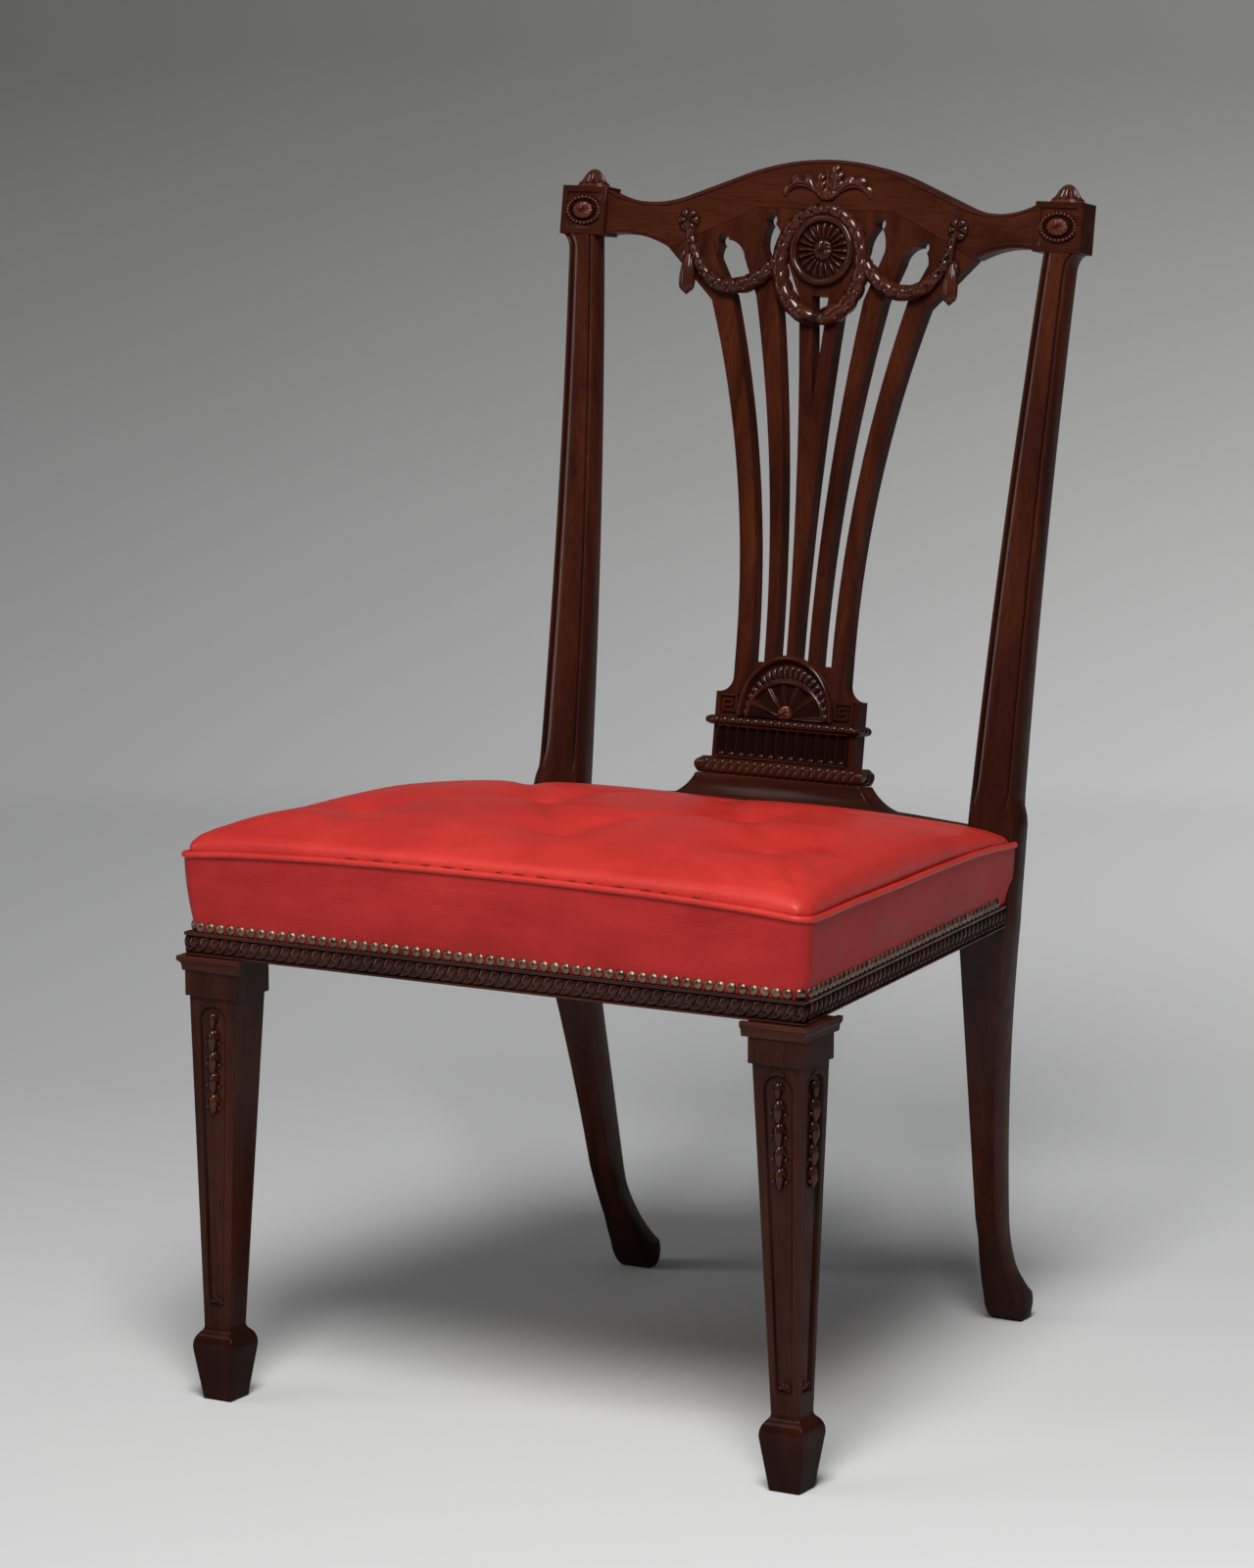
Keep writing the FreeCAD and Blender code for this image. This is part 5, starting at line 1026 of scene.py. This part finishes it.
def scallop_relief(r, angle):
    """Small scallop at the foot of a panel: seven ribs that rise from its middle."""
    rib = np.abs(np.cos(3.5*angle))
    # painted shade between the ribs
    return 0.7 + 1.1*rib*smooth(0.1, 0.5, r), 0.6*(1 - rib)


def leg_husks():
    """Drops of five husks in the panels: each husk has a long leaf between two short ones, which lean, and all but the
    top one end in two seeds. A scallop stands at the foot of the panel."""
    shell = Shell()
    top = np.array((316.5, 303.5, 286, 268.5, 251.5))
    size = np.array((0.72, 1.0, 1.0, 0.92, 0.9))[:, None]
    spot = stacked(0*top, top, 1.0)
    form = leaf_form(14, 14, 0.0, 0.85, 0.5, 0.7)
    for side, outer in ((side, outer) for side in SIDES.values() for outer in (False, True)):
        face = leg_face(side, outer)
        for lean, *leaf in ((-0.5, 10, 1.6, 2.6), (0.5, 10, 1.6, 2.6), (0, 20.5, 3.8, 4.7)):
            leaves = scattered(form, spot + (3*lean, 0, 0), (lean, -1, 0.02), size*leaf)
            # the two leaning side leaves get painted shade; the long middle one has none
            shell.add(face(leaves), 0.5*(lean != 0))
        for edge in (-1, 1):
            seed = stacked(edge*6.0*size[1:, 0], top[1:] - 11.5, 1.8)
            shell.add(face(scattered(berry_form(), seed, (0, 1, 0), (1.5, 1.5, 1.5))))
        carved_disc(shell, face, (0, 79.0), (5.6, 6.2), scallop_relief, (14, 60), math.pi)
    return shell


carve("leg_husk_drops", leg_husks())

# Stuffed seat: the welt's height by its distance from the front's middle, and the crown's height by its depth
WELT_AT = (0, 45, 140, 215, 252, 275, 300, 368, 462, 560, 642, 705, 728)
WELT_HEIGHT = (450.5, 450.5, 449, 446, 443.8, 441.2, 439.5, 439, 436, 434, 431, 426.5, 423)
WELT_CORNER = 275
CROWN_AT = (SEAT_FRONT, -200, -130, -70, 0, 60, 129, 168)
CROWN_HEIGHT = (470, 471, 471.5, 471, 464.5, 455.5, 443.5, 436.5)
# Share of the crown's rise by the distance in from an edge
DRAWN_AT = (0, 1.5, 4, 8, 14, 22, 34, 52, 80)
DRAWN_SHARE = (0, 0.22, 0.40, 0.56, 0.70, 0.81, 0.91, 0.97, 1)
LEATHER_BACK = 163.5
NAIL_STEP = 9.5


def seat_edge(inset, rear=LEATHER_BACK):
    """Plan line of the seat from the front's middle round the right corner to the back, drawn in by the inset: points,
    outward normals and distances. The corner is a round arc between the two straight edges."""
    radius, front_count, corner_count, side_count = 13.0, 90, 20, 110
    front = SEAT_FRONT + inset
    corner = side_x(front, inset)
    spread = math.acos(SEAT_SLOPE/SEAT_STRETCH)
    bend = corner - radius/math.tan(spread/2)
    turn = np.linspace(-0.5*math.pi, math.atan(SEAT_SLOPE), corner_count)
    arc = stacked(bend + radius*np.cos(turn), front + radius + radius*np.sin(turn))
    along = np.linspace(0, 1, front_count)[:-1, None]
    back = np.linspace(0, 1, side_count)[1:, None]
    end = np.array((side_x(rear, inset), rear))
    points = np.concatenate([along*(bend, 0) + (0, front), arc, arc[-1] + (end - arc[-1])*back])
    angle = np.concatenate([np.full(front_count - 1, turn[0]), turn, np.full(side_count - 1, turn[-1])])
    return points, stacked(np.cos(angle), np.sin(angle)), reach_along(points)


def both_halves(right):
    """Right half of a line from the front's middle, with its mirror image first."""
    left = right[:0:-1].copy()
    left[..., 0] *= -1
    return np.concatenate([left, right])


def welt_line(distance):
    """Height of the welt at a distance from the front's middle, with the bends of its knots eased."""
    return sum(np.interp(distance + shift, WELT_AT, WELT_HEIGHT) for shift in np.linspace(-24, 24, 13))/13


def border_ring(inset, height):
    """Line round the border: height 0 is its lower edge and 1 the welt."""
    points, _, distance = seat_edge(inset)
    low = 380.4 - fall(points[:, 1])
    return stacked(points[:, 0], points[:, 1], low + (welt_line(distance) - 1.0 - low)*height)


def stretched_border():
    """Band of leather 2 mm thick: it leans out to the welt by a power of its height, and a sine fills it out."""
    height = np.linspace(0, 1, 16)
    lean = 5.4*(1 - height)**1.15 - 0.9*np.sin(math.pi*height) - OVERHANG
    outer, inner = ([border_ring(inset + thick, at) for inset, at in zip(lean, height)] for thick in (0.0, 2.0))
    return Shell().add(capped(both_halves(np.stack(outer + inner[::-1], 1))))


def sewn_welt():
    """Round cord carried along the edge of the seat at the welt's height."""
    points, normals, distance = seat_edge(0.2 - OVERHANG, 163.0)
    turn = full_turn(12)[None, :, None]
    centre = stacked(*points.T, welt_line(distance))[:, None]
    cord = centre + 2.6*(np.cos(turn)*stacked(*normals.T, 0)[:, None] + np.sin(turn)*UP)
    return Shell().add(capped(both_halves(cord)))


def domed_nails():
    """Domed heads at even steps along the foot of the border: each is a flattened part of a ball, dark at its rim."""
    points, normals, distance = seat_edge(5.0 - OVERHANG, 146.0)
    at = 0.5*NAIL_STEP + NAIL_STEP*np.arange(int(distance[-1]/NAIL_STEP))
    place = along_line(at, distance, points)
    spot = stacked(*place.T, 384.5 - fall(place[:, 1]))
    out = unit(stacked(*along_line(at, distance, normals).T, 0))
    polar = np.array((0, 0.45, 0.9, 1.3, 1.57, 2.2))[:, None]
    dome = round_form(polar, 12)
    shell = Shell()
    for side in SIDES.values():
        mirror = np.array((side, 1, 1))
        shell.add(scattered(dome, spot*mirror, out*mirror, (2.9, 4.5, 4.5)),
                  smooth(0.9, 1.6, polar) + 0*dome[..., 0])
    return shell


make("leather_border_stretched", stretched_border(), SHADED_BORDER_LEATHER, "leather", ("leather_border",), 70)
make("seat_welt_sewn", sewn_welt(), SEAT_LEATHER, "leather", ("seat_welt",), 80)
make("brass_nails_domed", domed_nails(), NAIL_BRASS, "brass", ("brass_nails",), 80)


def drawn_in(distance):
    """Share of the crown's rise at a distance in from the welt."""
    return np.interp(distance, DRAWN_AT, DRAWN_SHARE)


def from_edges(x, y):
    """Distances in from the front and the side edge of the leather."""
    return y - SEAT_FRONT + OVERHANG, (side_x(y) - np.abs(x))/SEAT_STRETCH + OVERHANG


def seat_top(x, y):
    """Height of the stuffed seat: from the welt it rises to the crown, by the product of what each edge allows."""
    front, side = from_edges(x, y)
    back = CROWN_AT[-1] - y
    near_front, near_side, near_back = (1/(np.maximum(d, 0) + 6)**2 for d in (front, side, back))
    back_edge = 436 - 13*smooth(140, 215, np.abs(x))
    edge = (near_front*welt_line(np.abs(x)) + near_side*welt_line(WELT_CORNER + np.maximum(front, 0))
            + near_back*back_edge)
    edge = edge/(near_front + near_side + near_back)
    share = drawn_in(1.2*front)*drawn_in(1.2*side)*drawn_in(1.5*back + 6)
    return edge + (np.interp(y, CROWN_AT, CROWN_HEIGHT) - edge)*share


def seat_form():
    """Closed crowned form of the seat: rings drawn in from the welt line to the middle, a wall below the welt, and a
    flat foot on the hessian."""
    right, _, _ = seat_edge(1.2 - OVERHANG)
    rear_x = right[-1, 0]*np.linspace(1, 0, 60)[1:]
    rear = stacked(rear_x, LEATHER_BACK + 4.2*(1 - smooth(176, 186, rear_x)))
    outline = both_halves(np.concatenate([right, rear]))[1:]
    middle = np.array((0, -60.0))
    share = 1 - np.linspace(0, 1, 90)[:, None, None]**1.3
    plan = middle + (outline - middle)*share
    top = stacked(plan[..., 0], plan[..., 1], seat_top(plan[..., 0], plan[..., 1]))
    foot_share = np.array((0.2, 0.6, 0.97))[:, None, None]
    foot = np.concatenate([0*outline[None] + middle, middle + (outline - middle)*foot_share])
    foot = stacked(foot[..., 0], foot[..., 1], 419.5 - fall(foot[..., 1]))
    return Shell().add(np.concatenate([foot, top]))


def read_points(mesh):
    """Places of a mesh's points."""
    points = np.empty(3*len(mesh.vertices))
    mesh.vertices.foreach_get("co", points)
    return points.reshape(-1, 3)


def apply_modifiers(piece):
    """Gives a piece the mesh that its modifiers make, and clears them."""
    made = piece.evaluated_get(bpy.context.evaluated_depsgraph_get())
    mesh = bpy.data.meshes.new_from_object(made)
    piece.modifiers.clear()
    piece.data = mesh


def swollen(piece):
    """Stuffs a closed piece: remeshed evenly, blown out by Blender's cloth with its foot and its sewn edge held, and
    kept within 5 mm of where it began."""
    last_frame, furthest, held_within = 20, 0.005, 9
    remesh = piece.modifiers.new("even_mesh", "REMESH")
    remesh.mode = "VOXEL"
    remesh.voxel_size = 0.005
    apply_modifiers(piece)
    start = read_points(piece.data)
    x, y, z = in_drawing(start).T
    inside = np.minimum(np.minimum(*from_edges(x, y)), CROWN_AT[-1] - 2 - y)
    held = np.flatnonzero((inside < held_within) | (z < seat_top(x, y) - held_within))
    piece.vertex_groups.new(name="held").add(held.tolist(), 1.0, "REPLACE")
    cloth = piece.modifiers.new("stuffing", "CLOTH")
    cloth.settings.vertex_group_mass = "held"
    cloth.settings.use_pressure = True
    cloth.settings.uniform_pressure_force = 4.0
    cloth.settings.effector_weights.gravity = 0.0
    cloth.settings.quality = 6
    cloth.collision_settings.use_collision = False
    cloth.point_cache.frame_start = 1
    cloth.point_cache.frame_end = last_frame
    for number in range(1, last_frame + 1):
        scene.frame_set(number)
    apply_modifiers(piece)
    moved = read_points(piece.data) - start
    reach = np.linalg.norm(moved, axis=1, keepdims=True)
    moved *= np.minimum(1, furthest/np.maximum(reach, 1e-9))
    piece.data.vertices.foreach_set("co", (start + moved).ravel())
    scene.frame_set(1)


# Tufts in three rows, 3, 2 and 3
TUFT_ACROSS, TUFT_DEEP, TUFT_MIDDLE = 185.0, 125.0, -47
TUFTS = np.array([(across*TUFT_ACROSS, TUFT_MIDDLE + TUFT_DEEP*row)
                  for row, places in ((-1, (-1, 0, 1)), (0, (-0.5, 0.5)), (1, (-1, 0, 1))) for across in places])
TUFT_STEP = math.hypot(TUFT_ACROSS/2, TUFT_DEEP)


def sewn_down(piece):
    """Sews the tufts, each a small deep dimple in a wide shallow one with painted shade at its middle, and the soft
    creases between neighbours.
    """
    mesh = piece.data
    points = read_points(mesh)
    x, y, z = in_drawing(points).T
    upper = smooth(0, 8, z - seat_top(x, y) + 14)
    drop, dark = 0*x, 0*x
    for spot in TUFTS:
        deep = 1 - 0.7*(spot[1] > 0)
        reach = np.hypot(x - spot[0], y - spot[1])
        drop += deep*(5.0*np.exp(-(reach/7)**2) + 10.0*np.exp(-(reach/36)**2))
        # painted shade at the middle of each tuft
        dark += 0.5*np.exp(-(reach/5)**2)
        for way in TUFTS - spot:
            if way[1] > 0 and math.hypot(*way) < 1.2*TUFT_STEP:
                share = np.clip(((x - spot[0])*way[0] + (y - spot[1])*way[1])/(way @ way), 0, 1)
                aside = np.hypot(x - spot[0] - share*way[0], y - spot[1] - share*way[1])
                drop += 3.2*np.exp(-(aside/12)**2)*(1 - np.exp(-(reach/30)**2))
    points[:, 2] -= 0.001*upper*drop
    mesh.vertices.foreach_set("co", points.ravel())
    mesh.attributes.new("hollow", "FLOAT", "POINT").data.foreach_set("value", np.clip(upper*dark, 0, 1))


def front_stitches():
    """Long stitches between the seat and its welt at the front, with steps and lengths made uneven by two sines."""
    number = np.arange(15)
    along = -118 + 21.5*number + 3.5*np.sin(2.3*number)
    length = 8 + 2.5*np.sin(1.7*number + 1)
    place = stacked(along, SEAT_FRONT + 1.5 - OVERHANG, welt_line(np.abs(along)) + 3.0)
    return Shell().add(scattered(berry_form(7, 8), place, (1, 0, 0), stacked(0.5*length, 0.7, 0.6)))


# The mesh is made anew when it is stuffed, so the cushion is finished again after it
cushion_look = (SEAT_LEATHER, "leather", ("leather_seat_top", "seat_stuffing"), 180)
cushion = make("stuffed_leather_seat", seat_form(), *cushion_look)
swollen(cushion)
sewn_down(cushion)
finished(cushion, *cushion_look)
rounder = cushion.modifiers.new("rounder", "SUBSURF")
rounder.levels = rounder.render_levels = 1
make("front_stitches", front_stitches(), THREAD, "leather", (), 80)

# Studio: the camera's turn, which the paper shares, and the paper's bend
VIEW_TURN = math.radians(29.85)
PAPER_BEND, PAPER_FLOOR, PAPER_HALF = 1400, 2600, 12000


def pale_paper(name):
    """Seamless studio paper, faintly mottled: pale on the floor, with painted shade up the wall and to the left."""
    paper = Finish(name)
    mottle = paper.noise(paper.place, 1.2, 2)
    square = paper.mapped((1, 1, 1), (0, 0, -VIEW_TURN))
    across, back, rise = (paper.node("SeparateXYZ", {}, {"Vector": square}, axis) for axis in "XYZ")
    # painted light and shade: a painted shadow band on the floor behind the chair, and darkening up the wall
    colour = paper.ramp((back + rise).clamped(-1.0, 6.0) + 0.02*mottle,
                        (0.0, (0.64, 0.64, 0.636)), (0.18, (0.64, 0.64, 0.636)), (0.31, (0.56, 0.56, 0.555)),
                        (0.555, (0.65, 0.65, 0.642)), (0.736, (0.36, 0.36, 0.352)), (0.842, (0.20, 0.20, 0.192)))
    # painted fall-off of light: darker to the left, paler to the right
    colour = paper.mix(1.0, colour, across.clamped(-1.0, 1.0, 0.86, 1.14), "MULTIPLY")
    return paper.finish(Base_Color=colour, Roughness=mottle.clamped(0.2, 0.8, 0.85, 0.95))


def paper_sweep():
    """Sheet that lies on the floor and bends up behind the chair in a round arc, which ends before it is upright, so
    that the chair can be seen over it from behind."""
    bend = np.linspace(0, 1.39, 24)
    run = np.concatenate([[-10000], PAPER_FLOOR + PAPER_BEND*np.sin(bend)])[:, None]
    rise = np.concatenate([[0], PAPER_BEND - PAPER_BEND*np.cos(bend)])[:, None]
    across = np.linspace(-PAPER_HALF, PAPER_HALF, 3)[None]
    sheet = stacked(across*math.cos(VIEW_TURN) - run*math.sin(VIEW_TURN),
                    across*math.sin(VIEW_TURN) + run*math.cos(VIEW_TURN), rise)
    shell = Shell().add(sheet - (0, FRAME_SHIFT, 0), ring=False)
    mesh = bpy.data.meshes.new("studio_paper")
    mesh.from_pydata(in_frame(np.concatenate(shell.points)).tolist(), [], np.concatenate(shell.faces).tolist())
    mesh.polygons.foreach_set("use_smooth", np.ones(len(mesh.polygons), bool))
    mesh.materials.append(pale_paper("studio_paper_pale"))
    return bpy.data.objects.new("studio_paper", mesh)


def softbox(name, place, aim, wide, tall, power):
    """Rectangular lamp that faces a point."""
    lamp = bpy.data.lights.new(name, "AREA")
    lamp.shape = "RECTANGLE"
    lamp.size, lamp.size_y, lamp.energy = wide, tall, power
    holder = bpy.data.objects.new(name, lamp)
    holder.location = place
    holder.rotation_euler = (Vector(aim) - Vector(place)).to_track_quat("-Z", "Y").to_euler()
    scene.collection.objects.link(holder)


paper_sheet = paper_sweep()
scene.collection.objects.link(paper_sheet)
softbox("softbox_front", (0.95, -2.0, 3.2), (0, 0, 0.4), 1.3, 1.5, 149)
softbox("softbox_left", (-2.2, -2.6, 3.4), (0, 0, 0.5), 1.3, 1.3, 14)
softbox("softbox_side", (-3.4, -2.0, 1.3), (0, 0, 0.6), 0.5, 1.6, 18)
softbox("paper_lamp", (0.6, 2.0, 2.2), (-0.6, 4.2, 0.9), 1.4, 1.0, 34)
world = bpy.data.worlds.new("studio")
world.use_nodes = True
world.node_tree.nodes["Background"].inputs["Color"].default_value = (0.9, 0.93, 1.0, 1)
world.node_tree.nodes["Background"].inputs["Strength"].default_value = 0.10
scene.world = world

lens = bpy.data.cameras.new("camera")
lens.lens = 128.52
lens.sensor_width = 36
camera = bpy.data.objects.new("camera", lens)
camera.location = (2.1742, -3.8560, 1.2173)
camera.rotation_euler = (math.radians(80.527), 0, VIEW_TURN)
scene.collection.objects.link(camera)
scene.camera = camera
scene.view_settings.view_transform = "Standard"
